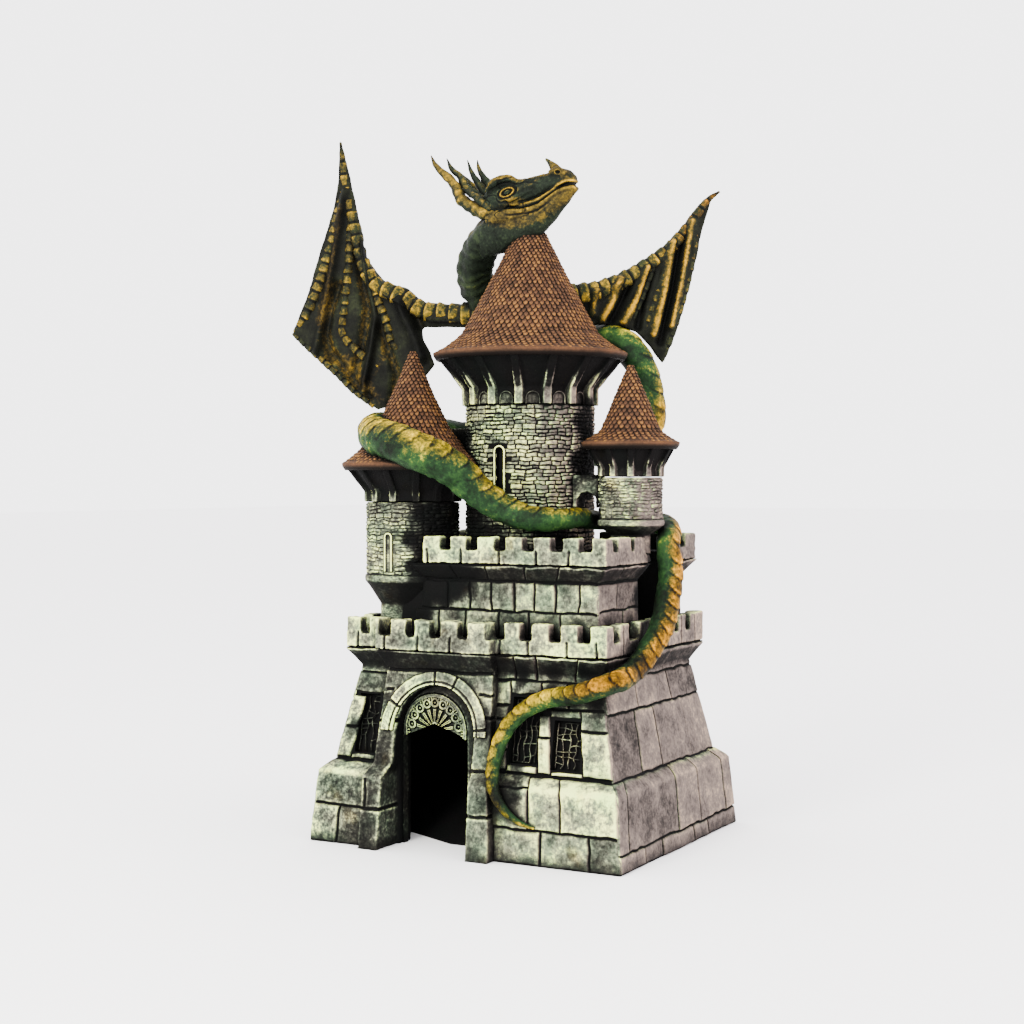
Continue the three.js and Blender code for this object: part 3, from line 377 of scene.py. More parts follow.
class Paint:
    """One procedural painted-resin material."""

    def __init__(self, name, roughness):
        self.material = bpy.data.materials.new(name)
        self.material.use_nodes = True
        self.tree = self.material.node_tree
        self.shader = self.tree.nodes["Principled BSDF"]
        self.shader.inputs["Roughness"].default_value = roughness
        self.shader.inputs["Specular IOR Level"].default_value = GLOSS
        self.where = self.node("ShaderNodeTexCoord").outputs["Object"]

    def node(self, kind, **settings):
        n = self.tree.nodes.new(kind)
        for key, value in settings.items():
            setattr(n, key, value)
        return n

    def join(self, value, socket):
        """Links an output to a socket, or sets a plain value on it."""
        if isinstance(value, bpy.types.NodeSocket):
            self.tree.links.new(value, socket)
        else:
            socket.default_value = value

    def sum(self, operation, a, b, clamp=False):
        n = self.node("ShaderNodeMath", operation=operation, use_clamp=clamp)
        self.join(a, n.inputs[0])
        self.join(b, n.inputs[1])
        return n.outputs[0]

    def value(self, name):
        """A value stored at each point of the mesh."""
        return self.node("ShaderNodeAttribute", attribute_name=name).outputs["Fac"]

    def cloud(self, size_mm, detail=3.0, offset=0.0, grain=0.6, stretch=(1, 1, 1)):
        """Noise with features about `size_mm` wide."""
        turn = self.node("ShaderNodeMapping")
        turn.inputs["Scale"].default_value = [1000.0 / size_mm * s for s in stretch]
        turn.inputs["Location"].default_value = (offset, offset * 0.7, -offset)
        self.join(self.where, turn.inputs["Vector"])
        n = self.node("ShaderNodeTexNoise")
        n.inputs["Scale"].default_value = 1.0
        n.inputs["Detail"].default_value = detail
        n.inputs["Roughness"].default_value = grain
        self.join(turn.outputs[0], n.inputs["Vector"])
        return n.outputs["Fac"]

    def shade(self, distance_mm):
        """How open a place is, for painted shade in crevices: 0 deep in a crevice, 1 in the open."""
        n = self.node("ShaderNodeAmbientOcclusion", samples=6)
        n.inputs["Distance"].default_value = distance_mm * MM
        return n.outputs["AO"]

    def ramp(self, factor, stops, seen=look):
        """Colours along a factor; `seen` turns an 8-bit colour into a paint."""
        n = self.node("ShaderNodeValToRGB")
        while len(n.color_ramp.elements) < len(stops):
            n.color_ramp.elements.new(0.5)
        for element, (at, colour) in zip(n.color_ramp.elements, stops):
            element.position = at
            element.color = [*seen(*colour), 1.0]
        self.join(factor, n.inputs[0])
        return n.outputs[0]

    def blend(self, factor, a, b, kind="MIX"):
        n = self.node("ShaderNodeMix", data_type="RGBA", blend_type=kind)
        for value, socket in ((factor, 0), (a, COLOUR_A), (b, COLOUR_B)):
            self.join(value, n.inputs[socket])
        return n.outputs[COLOUR_OUT]

    def weighted(self, base, *terms):
        """base + the sum of weight * (source - 0.5)."""
        total = base
        for source, weight in terms:
            n = self.node("ShaderNodeMath", operation="MULTIPLY_ADD")
            self.join(source, n.inputs[0])
            n.inputs[1].default_value = weight
            self.join(self.sum("SUBTRACT", total, weight / 2), n.inputs[2])
            total = n.outputs[0]
        return total

    def finish(self, colour, bump_source, bump_mm):
        self.join(colour, self.shader.inputs["Base Color"])
        n = self.node("ShaderNodeBump")
        n.inputs["Strength"].default_value = 0.6
        n.inputs["Distance"].default_value = bump_mm * MM
        self.join(bump_source, n.inputs["Height"])
        self.join(n.outputs[0], self.shader.inputs["Normal"])
        return self.material


# Colours by how much paint has caught and how much painted shade lies on it: from the black wash and shade in
# the pits to the dry-brushed edges.
STONE_RAMP = [(0.0, (13, 13, 14)), (0.22, (30, 30, 28)), (0.42, (76, 77, 70)), (0.6, (128, 130, 119)),
              (0.78, (182, 184, 166)), (1.0, (232, 234, 208))]
SIDE_LIGHT_MAUVE_RAMP = [(0.0, (16, 14, 14)), (0.22, (44, 39, 38)), (0.42, (104, 95, 91)), (0.6, (142, 131, 126)),
              (0.8, (166, 154, 146)), (1.0, (196, 182, 170))]
ROOF_RAMP = [(0.0, (12, 9, 8)), (0.25, (40, 28, 22)), (0.5, (92, 66, 50)), (0.75, (138, 100, 76)),
             (1.0, (182, 142, 98))]
GREEN_RAMP = [(0.0, (8, 9, 8)), (0.28, (24, 32, 21)), (0.5, (44, 74, 42)), (0.72, (82, 116, 66)),
              (1.0, (166, 178, 108))]
GOLD_RAMP = [(0.0, (14, 12, 6)), (0.28, (84, 70, 22)), (0.5, (148, 128, 44)), (0.75, (210, 186, 62)),
             (1.0, (242, 222, 88))]
HIDE_RAMP = [(0.0, (7, 7, 6)), (0.3, (20, 21, 15)), (0.5, (38, 40, 27)), (0.72, (70, 76, 46)),
             (1.0, (150, 136, 82))]
BRONZE_RAMP = [(0.0, (12, 10, 7)), (0.28, (54, 44, 22)), (0.5, (108, 90, 46)), (0.75, (164, 138, 74)),
               (1.0, (216, 188, 104))]
DUSK_RAMP = [(0.0, (8, 9, 8)), (0.28, (20, 25, 18)), (0.5, (40, 50, 36)), (0.72, (74, 86, 58)),
             (1.0, (146, 146, 92))]
# Tints laid over them in patches, and the orange of a painted pink side light.
MOSS_TINT = [(0.42, (255, 250, 246)), (0.62, (226, 246, 232))]
RUST_TINT = [(0.58, (255, 255, 255)), (0.72, (246, 226, 196))]
SIDE_LIGHT_ORANGE_TINT = [(0.1, (255, 255, 255)), (0.9, (255, 204, 176))]


def stone_paint(name, base, mottle=0.6, streak=(1, 1, 1), edge=1.0, tone=0.25, ao_mm=7, ao_power=1.6):
    """Dark stone, dry-brushed pale: pits stay black with wash, sheltered places are darkened with painted
    shade, edges catch the light coat, and a painted pink side light turns the right flank mauve.
    """
    p = Paint(name, 0.82)
    coarse = p.cloud(9, 6, 0.0, 0.68, streak)
    fine = p.cloud(1.6, 6, 3.0, 0.7, streak)
    patch = p.cloud(24, 2, 9.0)
    f = p.weighted(base, (coarse, mottle * 1.7), (fine, mottle * 1.5), (p.value("edge"), edge),
                   (p.value("tone"), tone), (patch, 0.6))
    # Painted shade darkens crevices, then the stored wash and painted shade darken the rest.
    f = p.sum("MULTIPLY", f, p.sum("POWER", p.shade(ao_mm), ao_power), True)
    shown = p.weighted(p.sum("MULTIPLY", p.value("free_of_wash_and_shade"), 1.5), (p.value("edge"), 0.9), (fine, 0.9))
    f = p.sum("MULTIPLY", f, p.sum("SUBTRACT", shown, 0.3, True), True)
    colour = p.ramp(f, STONE_RAMP)
    colour = p.blend(0.9, colour, p.ramp(p.cloud(17, 4, 21.0), MOSS_TINT, plain), "MULTIPLY")
    colour = p.blend(0.8, colour, p.ramp(p.cloud(13, 4, 33.0), RUST_TINT, plain), "MULTIPLY")
    # The mauve of a painted pink side light on faces that look right.
    mauve_side_light = p.blend(p.value("mauve_side_light"), colour, p.ramp(f, SIDE_LIGHT_MAUVE_RAMP))
    return p.finish(mauve_side_light, p.weighted(fine, (coarse, 1.0)), 0.35)


def roof_paint():
    """Satin red-brown shingles with a pale brush over their tips."""
    p = Paint("roof_paint", 0.7)
    f = p.weighted(0.56, (p.cloud(10, 4), 0.6), (p.cloud(1.2, 3, 5.0), 0.35), (p.value("edge"), 0.85),
                   (p.value("tone"), 0.3))
    # Gaps between the shingles and the underside of the brim are darkened with painted shade.
    f = p.sum("MULTIPLY", f, p.sum("POWER", p.shade(2.2), 2.4), True)
    f = p.sum("MULTIPLY", f, p.sum("SUBTRACT", p.sum("MULTIPLY", p.value("free_of_wash_and_shade"), 1.6), 0.6, True), True)
    return p.finish(p.ramp(f, ROOF_RAMP), p.cloud(0.8, 2), 0.08)


def dragon_paint(name, under, over, base=0.5, contrast=0.5, ao_mm=5, hold=0.36, gain=2.6):
    """A dark hide with gold brushed over it where the gilding value, less `hold`, is high."""
    p = Paint(name, 0.55)
    patch = p.cloud(9, 5, 0.0, 0.66)
    fine = p.cloud(1.5, 5, 4.0, 0.68)
    f = p.weighted(base, (patch, contrast * 1.6), (fine, 0.6), (p.value("edge"), 1.0), (p.value("tone"), 0.7))
    # Crevices are darkened with painted shade.
    f = p.sum("MULTIPLY", f, p.sum("POWER", p.shade(ao_mm), 1.2), True)
    low_coat = p.ramp(f, under)
    # A painted pink side light turns the gold orange towards the right.
    side_light_orange = p.ramp(p.value("warm"), SIDE_LIGHT_ORANGE_TINT, plain)
    gold_coat = p.blend(0.9, p.ramp(p.weighted(f, (fine, 0.3)), over), side_light_orange, "MULTIPLY")
    cover = p.weighted(p.value("gold"), (fine, 1.0), (patch, 0.7), (p.value("edge"), 0.5))
    cover = p.sum("MULTIPLY", p.sum("SUBTRACT", cover, hold, True), gain, True)
    return p.finish(p.blend(cover, low_coat, gold_coat), fine, 0.12)


STONE = stone_paint("stone_paint", 0.58)
PALE = stone_paint("stone_pale_paint", 0.72, mottle=0.6)
RUBBLE = stone_paint("rubble_paint", 0.545, mottle=0.6, streak=(1, 1, 2.2), edge=0.8, tone=0.2, ao_mm=3)
DARK = stone_paint("stone_dark_paint", 0.3, mottle=0.5, edge=0.7)
JOINT = stone_paint("joint_paint", 0.08, mottle=0.2, edge=0.1)
ROOF = roof_paint()
SCALE = dragon_paint("dragon_scale_paint", GREEN_RAMP, GOLD_RAMP, 0.48, 0.6, hold=0.34, gain=1.8)
NECK_PAINT = dragon_paint("dragon_neck_paint", DUSK_RAMP, BRONZE_RAMP, 0.44, 0.5, 8, 0.44)
HIDE = dragon_paint("dragon_hide_paint", HIDE_RAMP, BRONZE_RAMP, 0.42, 0.6, 7)
HEAD_PAINT = dragon_paint("dragon_head_paint", DUSK_RAMP, BRONZE_RAMP, 0.46, 0.5, 4)


# ---------------------------------------------------------------- masonry

def spaced(a, b, bevel, pitch):
    """Grid lines across one stone: close together at both edges, then `pitch` apart."""
    bevel = min(bevel, (b - a) * 0.3)
    inner = np.linspace(a + bevel, b - bevel, max(2, int(round((b - a - 2 * bevel) / pitch)) + 1))
    return np.concatenate([[a, a + 0.1 * bevel, a + 0.45 * bevel], inner,
                           [b - 0.45 * bevel, b - 0.1 * bevel, b]])


BEVEL, PITCH, WOBBLE, SINK = 1.0, 1.2, 0.5, 0.4  # edge, grid, waver and foot of each stone, in mm


def stones(skin, where, rects, rng, outward, proud=1.0, gap=0.7, face=0.6):
    """Rounded stones on a surface: where(u, v, h) gives a point h above it. They stand `proud`, and `face` is
    how uneven they are."""
    for u0, u1, v0, v1 in rects:
        g = gap * rng.uniform(0.3, 0.65, 4)
        u, v = spaced(u0 + g[0], u1 - g[1], BEVEL, PITCH), spaced(v0 + g[2], v1 - g[3], BEVEL, PITCH)
        uu, vv = np.meshgrid(u, v, indexing="ij")
        i, j = np.meshgrid(np.arange(len(u)), np.arange(len(v)), indexing="ij")
        ring = np.minimum(np.minimum(i, len(u) - 1 - i), np.minimum(j, len(v) - 1 - j))
        lift = proud + rng.uniform(-0.3, 0.35)
        height = np.array([-SINK, 0.35 * lift, 0.82 * lift, lift])[np.minimum(ring, 3)]
        flat = where(uu, vv, np.zeros_like(uu))
        inside = np.minimum(ring, 4) / 4
        height = height + inside * (face * rough(flat, 6, 3, 5) + 0.4 * face * rough(flat, 2.2, 2, 9))
        tilt = rng.uniform(-0.3, 0.3, 2)
        height += inside * (tilt[0] * (uu - uu.mean()) / (u1 - u0) + tilt[1] * (vv - vv.mean()) / (v1 - v0))
        uu = uu + WOBBLE * noise(flat, 4.5, 31)
        vv = vv + WOBBLE * noise(flat, 4.5, 47)
        # The front-right foot of the wall is the palest.
        pale = smooth(8, 22, u0) * smooth(50, 34, v0) * smooth(-6, 12, v0) * max(0.0, -outward[1])
        skin.patches(where(uu, vv, height)[None], outward[None], rng.uniform(0.1, 1.2) + 0.9 * pale)


JITTER = 0.0  # drawn joints stay where they are


def masonry(courses, joints, rng):
    """Rectangles from course lines and, for each course, its upright joints."""
    rects = []
    for (v0, v1), line in zip(courses, joints):
        line = [x + rng.uniform(-JITTER, JITTER) if 0 < n < len(line) - 1 else x for n, x in enumerate(line)]
        rects += [(a, b, v0, v1) for a, b in zip(line[:-1], line[1:])]
    return rects


def keep_wall(side, sign, levels=KEEP):
    """The surface of one leaning wall: u runs along its foot, z upwards and h outwards."""
    base = levels[0]

    def where(u, z, h):
        hx, hy = np.interp(z, levels[:, 2], levels[:, 0]), np.interp(z, levels[:, 2], levels[:, 1])
        if side == "y":
            return np.stack([u / base[0] * hx, sign * (hy + h), z + h * 0], -1)
        return np.stack([sign * (hx + h), u / base[1] * hy, z + h * 0], -1)
    return where


rng = np.random.default_rng(7)
CORNER = 0.7  # how far the stones reach past the corners of the walls


def random_line(a, b, mean, rng):
    """Joints from a to b, about `mean` apart."""
    n = max(1, int(round((b - a) / mean)))
    line = np.linspace(a, b, n + 1)
    line[1:-1] += rng.uniform(-0.22, 0.22, n - 1) * (b - a) / n
    return list(line)


keep = Skin()
cx, cy = KEEP[0, 0] + CORNER, KEEP[0, 1] + CORNER
# Front wall, right of the gatehouse; its two windows are left open.
front_right = [
    (17, 40.5, 0, 15), (40.5, 64, 0, 15), (64, cx, 0, 15),
    (15.5, 34.5, 15, 32.5), (34.5, 50.5, 15, 37), (50.5, cx, 15, 37), (15.5, 34.5, 32.5, 37.5),
    (12, 21, 38, 47), (12, 21, 47, 60), (12, 21, 60, 66), (21, 38.2, 37.4, 40.8),
    (38.2, 45.2, 38, 53.5), (62.8, cx, 37.8, 57), (45.2, 62.8, 37.3, 39.6),
    (39.2, 46, 53.5, 63), (63.5, cx, 57, 66), (46, 63.5, 61.8, 66), (12, 22, 66, 77), (41, 57, 66, 77),
    (57, cx, 66, 77), (22, 41, 70.8, 77),
    (12, 25, 77, 88.4), (25, 38, 77, 88.4), (38, 62, 77, 88.4), (62, cx, 77, 88.4)]
stones(keep, keep_wall("y", -1), front_right, rng, -AXES["y"])
# Front wall, left of the gatehouse, with its one window.
front_left = [
    (-cx, -64, 0, 17.5), (-64, -49.5, 0, 17.5), (-cx, -49.5, 17.5, 37),
    (-cx, -69.5, 37.8, 52), (-cx, -70, 52, 66), (-69.5, -55, 37.4, 40), (-56.3, -50.5, 40, 56),
    (-56.6, -51, 56, 67), (-cx, -51, 67.3, 77), (-cx, -51, 77, 88.4)]
stones(keep, keep_wall("y", -1), front_left, rng, -AXES["y"])
side_courses = [(0, 8), (8, 37), (37, 64), (64, 77.5), (77.5, 88.4)]
right_joints = [[-cy, -40.5, -21.9, 13.8, 30.6, cy], [-cy, -56.8, -1.9, 23.6, 55.2, cy],
                [-cy, -31, -6, 36, cy], [-cy, -25, 24, cy], [-cy, -38, -8, 20, cy]]
stones(keep, keep_wall("x", 1), masonry(side_courses, right_joints, rng), rng, AXES["x"], face=0.35, gap=0.5)
back_courses = [(0, 15), (15, 37), (37, 55), (55, 76), (76, 88.4)]
for side, sign, half, courses in (("x", -1, cy, side_courses), ("y", 1, cx, back_courses)):
    joints = [random_line(-half, half, 26, rng) for _ in courses]
    stones(keep, keep_wall(side, sign), masonry(courses, joints, rng), rng, sign * AXES[side])
place("keep_stones", keep.mesh("keep_stones"), STONE, "stone")

upper = Skin()
ux, uy = UPPER[0, 0] + CORNER, UPPER[0, 1] + CORNER
levels_up, collar = [(94.8, 107), (107, 120.2)], [(120.6, 127.6)]
front_joints = [[-34, -22, -8, 9, 24, 40, ux], [-31.5, -17.3, -5.8, 5.5, 17.1, 27.1, 37.5, 49.1, ux]]
stones(upper, keep_wall("y", -1, UPPER), masonry(levels_up, front_joints, rng), rng, -AXES["y"], proud=0.8)
stones(upper, keep_wall("y", -1, UPPER), masonry(collar, [[-31, -12, 4, 22, 38, ux]], rng), rng, -AXES["y"],
       proud=0.5)
for a, b in ((-uy, -3.6), (25.6, uy)):
    joints = [random_line(a, b, 20, rng) for _ in range(3)]
    stones(upper, keep_wall("x", 1, UPPER), masonry([(94.8, 108), (108, 120.2)] + collar, joints, rng), rng,
           AXES["x"], proud=0.6)
for side, sign, a, b in (("y", 1, -ux, ux), ("x", -1, -12, uy)):
    joints = [random_line(a, b, 15, rng) for _ in range(3)]
    stones(upper, keep_wall(side, sign, UPPER), masonry(levels_up + collar, joints, rng), rng,
           sign * AXES[side], proud=0.8)
place("upper_keep_stones", upper.mesh("upper_keep_stones"), STONE, "stone")


def cast(name, cell, paint, slot, node, wear=0.35, grain=0.12, grooves=None, free_of_wash_and_shade=None, use_wash_and_shadow=True):
    """A CAD body rebuilt finely and worn: edges rounded, faces uneven, joints cut."""
    points, faces, normal = recast(*cad(node), cell, 1)
    depth = wear * rough(points, 9, 3, 3) + grain * rough(points, 1.6, 2, 8)
    if grooves is not None:
        depth = depth - grooves(points)
    mesh = build(name, points + normal * depth[:, None], faces, tone=0.5 + 0.5 * rough(points, 16, 2, 40))
    place(name, mesh, paint, slot, node, free_of_wash_and_shade=free_of_wash_and_shade, use_wash_and_shadow=use_wash_and_shadow)


def groove_lines(points, lines, width, depth):
    """Depth of cuts along segments given as (axis, a0, z0, a1, z1), where axis 0 is X and 1 is Y."""
    total = np.zeros(len(points))
    wander = 0.4 * noise(points, 5, 77)
    for axis, a0, z0, a1, z1 in lines:
        p = points[:, [axis, 2]] + wander[:, None]
        start, along = np.array([a0, z0], float), np.array([a1 - a0, z1 - z0], float)
        t = np.clip((p - start) @ along / (along @ along), 0, 1)
        far = np.linalg.norm(p - start - t[:, None] * along, axis=1)
        total = np.maximum(total, depth * (1 - smooth(0.3 * width, width, far)))
    return total


def gate_grooves(points):
    """The joints between the stones of the gatehouse front."""
    front = points[:, 1] < -52.5
    level = [(-60, -39, 18), (5, 11, 70.5), (5, 12, 60.5), (5, 13.5, 38), (5.5, 17, 19.5), (-45, -36, 56.5),
             (-45, -40, 70.5), (-60, 30, 79.6)]
    lines = [(0, -46.4, 18, -46.4, 31)] + [(0, x0, z, x1, z) for x0, x1, z in level]
    return groove_lines(points, lines, 0.9, 1.1) * front


def gate_wash_and_shade(points):
    """The reveal inside the arch is black with wash and painted shade, fading to its front edge, and the left
    of the gatehouse is a little darker with painted shade.
    """
    x, y, z = points[:, 0], points[:, 1], points[:, 2]
    face = -np.interp(z, GATE[:, 3], -GATE[:, 2])
    reveal = np.maximum(np.abs(x - REVEAL["x"]) - REVEAL["half"], 0) + 9 * (z > 73.8)
    return 1 - 0.9 * smooth(1.2, 0.2, reveal) * smooth(1.0, 4.5, y - face) - 0.18 * smooth(-30, -45, x)


cast("gatehouse_cast", 0.62, STONE, "stone", "gatehouse", grooves=gate_grooves, free_of_wash_and_shade=gate_wash_and_shade)


HOOD_JOINTS = (0.12, 1.18, 1.62, 2.62)  # angles round the arch
HOOD_RIB = 22.6


def hood_grooves(points):
    """The joints across the arch moulding, and the line that runs round it."""
    across, up = points[:, 0] - REVEAL["x"], points[:, 2] - REVEAL["spring"]
    angle, total = np.arctan2(up, across), 0
    for joint in HOOD_JOINTS:
        total = np.maximum(total, 0.8 * (1 - smooth(0.3, 0.8, np.abs(angle - joint) * 24)))
    return total + 0.6 * (1 - smooth(0.2, 0.7, np.abs(np.hypot(across, up) - HOOD_RIB)))


def evenly(value):
    return lambda points: np.full(len(points), value)


cast("gate_hood_cast", 0.45, PALE, "stone", "gate_hood", grooves=hood_grooves, wear=0.3)
cast("gate_frame_cast", 0.5, STONE, "stone_dark", "gate_frame", free_of_wash_and_shade=evenly(0.62))


def parapet_grooves(lines):
    return lambda points: groove_lines(points, lines, 0.75, 0.9)


def ring_wash_and_shade(half_x, half_y):
    """The walk behind a battlement and the cheeks of its gaps are black with wash and painted shade."""
    def free_of_wash_and_shade(points):
        inside = np.maximum(np.abs(points[:, 0]) - half_x, np.abs(points[:, 1]) - half_y)
        return smooth(-0.8, 2.2, inside) * 0.85 + 0.15
    return free_of_wash_and_shade


low_lines = [(0, x, 88, x, 95.2) for x in (-60, -42, -24.5, -8, 13.9, 28, 47, 61)]
low_lines += [(1, y, 88, y, 103) for y in (-37, -20, -4, 12, 28, 44)]
chipped = dict(grain=0.25, use_wash_and_shadow=False)
cast("lower_parapet_cast", 0.62, PALE, "stone", "lower_parapet", grooves=parapet_grooves(low_lines),
     wear=0.6, free_of_wash_and_shade=ring_wash_and_shade(60.3, 48), **chipped)
up_lines = [(0, x, 127, x, 134.2) for x in (-47, -25.5, -8, 11.5, 30, 46)]
for node, cell, paint in (("upper_parapet_back", 0.62, STONE), ("upper_parapet_front", 0.6, PALE)):
    cast(node + "_cast", cell, paint, "stone", node, grooves=parapet_grooves(up_lines), wear=0.55,
         free_of_wash_and_shade=ring_wash_and_shade(58, 44), **chipped)


def corbel_wash_and_shade(tower, width, niche_top, pier_top, niche):
    """Piers are left pale, niche backs half pale, and the rest is black with wash and painted shade up to the
    brim but for thin lines along the edges of the piers."""
    def free_of_wash_and_shade(points):
        x, y, z = points[:, 0] - tower["x"], points[:, 1] - tower["y"], points[:, 2]
        step = 2 * np.pi / tower["piers"]
        off = np.abs((np.arctan2(y, x) + step / 2) % step - step / 2) * np.hypot(x, y)
        pier = smooth(width / 2 + 0.7, width / 2 + 0.1, off)
        high = z + 1.5 * noise(points, 3, 66)
        edge = np.exp(-((off - width / 2) / 0.45) ** 2) * smooth(tower["eave"] - 2, pier_top, high)
        return (pier * smooth(pier_top + 4, pier_top - 2, high)
                + (1 - pier) * niche * smooth(niche_top + 1.5, niche_top - 1, high)
                + 0.8 * edge * (z > niche_top))
    return free_of_wash_and_shade


cast("main_corbels_cast", 0.5, PALE, "stone", "main_corbels", wear=0.3, grain=0.15,
     free_of_wash_and_shade=corbel_wash_and_shade(TOWER, 3.3, 205.5, 211, 0.72))
cast("left_corbels_cast", 0.45, STONE, "stone", "left_turret_corbels", wear=0.25,
     free_of_wash_and_shade=corbel_wash_and_shade(LEFT, 3.4, 158, 158, 0.3))
cast("right_corbels_cast", 0.42, PALE, "stone", "right_turret_corbels", wear=0.25,
     free_of_wash_and_shade=corbel_wash_and_shade(RIGHT, 2.8, 169.5, 171, 0.4))
for node in ("left_bridge", "right_bridge"):
    cast(node + "_cast", 0.55, RUBBLE, "stone", node, wear=0.4, grain=0.4)


# ---------------------------------------------------------------- round towers

def lathe(skin, profile, at, around, step, wear, tone):
    """A turned body from [radius, z], listed from the bottom upwards along its outside."""
    p = np.asarray(profile, float)
    length = np.linalg.norm(np.diff(p, axis=0), axis=1)
    path = [p[:1]]
    for a, b, d in zip(p[:-1], p[1:], length):
        n = max(1, int(math.ceil(d / step)))
        path.append(a + (b - a) * (np.arange(1, n + 1) / n)[:, None])
    path = np.concatenate(path)
    angle = np.linspace(0, 2 * np.pi, around, endpoint=False)
    ring = np.stack([np.sin(angle), -np.cos(angle), 0 * angle], -1)
    grid = path[:, None, :1] * ring[None] + np.array([0, 0, 1.0]) * path[:, None, 1:]
    grid = grid + np.array([at["x"], at["y"], 0.0])
    grid += ring[None] * (wear * rough(grid, 5, 3, 12) * np.minimum(path[:, :1] / 4, 1))[..., None]
    mid = ring[around // 2]
    skin.patches(grid[None], (mid + 0.01)[None], tone, wrap=True)


BRICK_GAP, BRICK_PROUD = 0.26, 0.5


def bricks(skin, at, radius, z0, z1, rng, course=1.75, length=4.6, holes=()):
    """Rubble courses round a drum; holes are (angle, half angle, z0, z1) left open."""
    z, gap, proud = z0, BRICK_GAP, BRICK_PROUD
    # The section of a brick: places across it, and its height at each.
    offsets = np.array([0, 0.05, 0.3, 0.5, 0.7, 0.95, 1.0])
    heights = np.array([-0.5, 0.35, 0.92, 1.0, 0.92, 0.35, -0.5])
    while z < z1 - 1.2:
        rise = min(course * rng.uniform(0.82, 1.2), z1 - z)
        around = 2 * np.pi * radius
        widths = length * rng.uniform(0.6, 1.45, int(around / length))
        marks = np.concatenate([[0], np.cumsum(widths)]) * around / widths.sum() + rng.uniform(0, length)
        a0, a1 = (marks[:-1] + gap * 0.5) / radius, (marks[1:] - gap * 0.5) / radius
        keep_it = np.ones(len(a0), bool)
        for centre, half, h0, h1 in holes:
            off = (0.5 * (a0 + a1) - centre + np.pi) % (2 * np.pi) - np.pi
            keep_it &= ~((np.abs(off) < half + 0.35 * length / radius) & (z + rise > h0) & (z < h1))
        a0, a1 = a0[keep_it], a1[keep_it]
        k = len(a0)
        lo = z + gap * 0.45 + rng.uniform(-0.28, 0.28, k)
        hi = z + rise - gap * 0.45 + rng.uniform(-0.28, 0.28, k)
        angle = a0[:, None, None] + (a1 - a0)[:, None, None] * offsets[None, :, None]
        level = lo[:, None, None] + (hi - lo)[:, None, None] * offsets[None, None, :]
        angle, level = np.broadcast_arrays(angle, level)
        h = np.minimum(heights[:, None], heights[None, :])[None] * proud
        lift = proud * rng.uniform(-0.45, 0.5, k)[:, None, None] * (h > 0)
        flat = np.stack([at["x"] + radius * np.sin(angle), at["y"] - radius * np.cos(angle), level], -1)
        h = h + lift + 0.22 * rough(flat, 1.8, 2, 61) * (h > 0)
        level = level + 0.5 * noise(flat, 3.4, 91)
        r = radius + h
        grid = np.stack([at["x"] + r * np.sin(angle), at["y"] - r * np.cos(angle), level], -1)
        mid = 0.5 * (a0 + a1)
        skin.patches(grid, np.stack([np.sin(mid), -np.cos(mid), 0 * mid], -1), rng.uniform(0, 1, k))
        z += rise


main = Skin()
bricks(main, TOWER, TOWER["r"], 132.6, 199.4, rng, holes=[(0, 0.085, 158.4, 180.8), (np.pi, 0.47, 136, 167)])
place("main_drum_bricks", main.mesh("main_drum_bricks"), RUBBLE, "stone")

drum = Skin()
lathe(drum, [[0.5, 94.8], [15, 94.8], [15, 108], [20.4, 116.5], [22.3, 118.8], [22.5, 120], [22.3, 121.2],
             [21.4, 121.9], [LEFT["r"], 155], [0.5, 155]], LEFT, 120, 0.9, 0.25, 0.75)
bricks(drum, LEFT, LEFT["r"], 122, 155, rng, holes=[(0, 0.07, 124, 141)])
place("left_drum_bricks", drum.mesh("left_drum_bricks"), RUBBLE, "stone", "left_turret_drum")

drum = Skin()
lathe(drum, [[0.5, 132.3], [9, 132.3], [9, 140.6], [13.6, 143.6], [15.2, 144.9], [15.4, 146], [15.2, 147.2],
             [14.3, 147.7], [RIGHT["r"], 166.5], [0.5, 166.5]], RIGHT, 90, 0.8, 0.2, 0.8)
bricks(drum, RIGHT, RIGHT["r"], 147.8, 166.5, rng, course=1.6, length=4.2)
place("right_drum_bricks", drum.mesh("right_drum_bricks"), RUBBLE, "stone", "right_turret_drum")


def arch_rib(skin, at, radius, angle0, half, foot, spring, thick, tone=0.9):
    """A raised round-headed moulding on a drum, as a bent tube."""
    rise = [(spring - foot) * t for t in np.linspace(0, 1, 12)]
    line = [(-half, foot + z) for z in rise]
    line += [(half * math.cos(a), spring + half * math.sin(a)) for a in np.linspace(np.pi, 0, 11)[1:-1]]
    line += [(half, spring - z) for z in rise]
    path = []
    for x, z in line:
        a = angle0 + x / radius
        path.append([at["x"] + radius * math.sin(a), at["y"] - radius * math.cos(a), z, thick])
    rings, _, _ = tube_rings(path, 60, 8, [(0, (math.sin(angle0), -math.cos(angle0), 0))])
    skin.tube(rings, tone)


slit = Skin()
arch_rib(slit, TOWER, 30.3, 0.0, 2.5, 157.5, 178.2, 0.45)
arch_rib(slit, LEFT, 21.9, 0.0, 1.7, 123.5, 139.2, 0.4)
for bay in range(TOWER["piers"]):
    middle = math.radians(90 + 360 / TOWER["piers"] * (bay + 0.5))
    arch_rib(slit, TOWER, 29.5, middle, 3.1, 199.9, 202.4, 0.34, 0.2)
# The mouldings up under the main brim are darkened with painted shade.
place("slit_mouldings", slit.mesh("slit_mouldings"), PALE, "stone",
      free_of_wash_and_shade=lambda points: 1 - 0.5 * (points[:, 2] > 190))


# ---------------------------------------------------------------- roofs

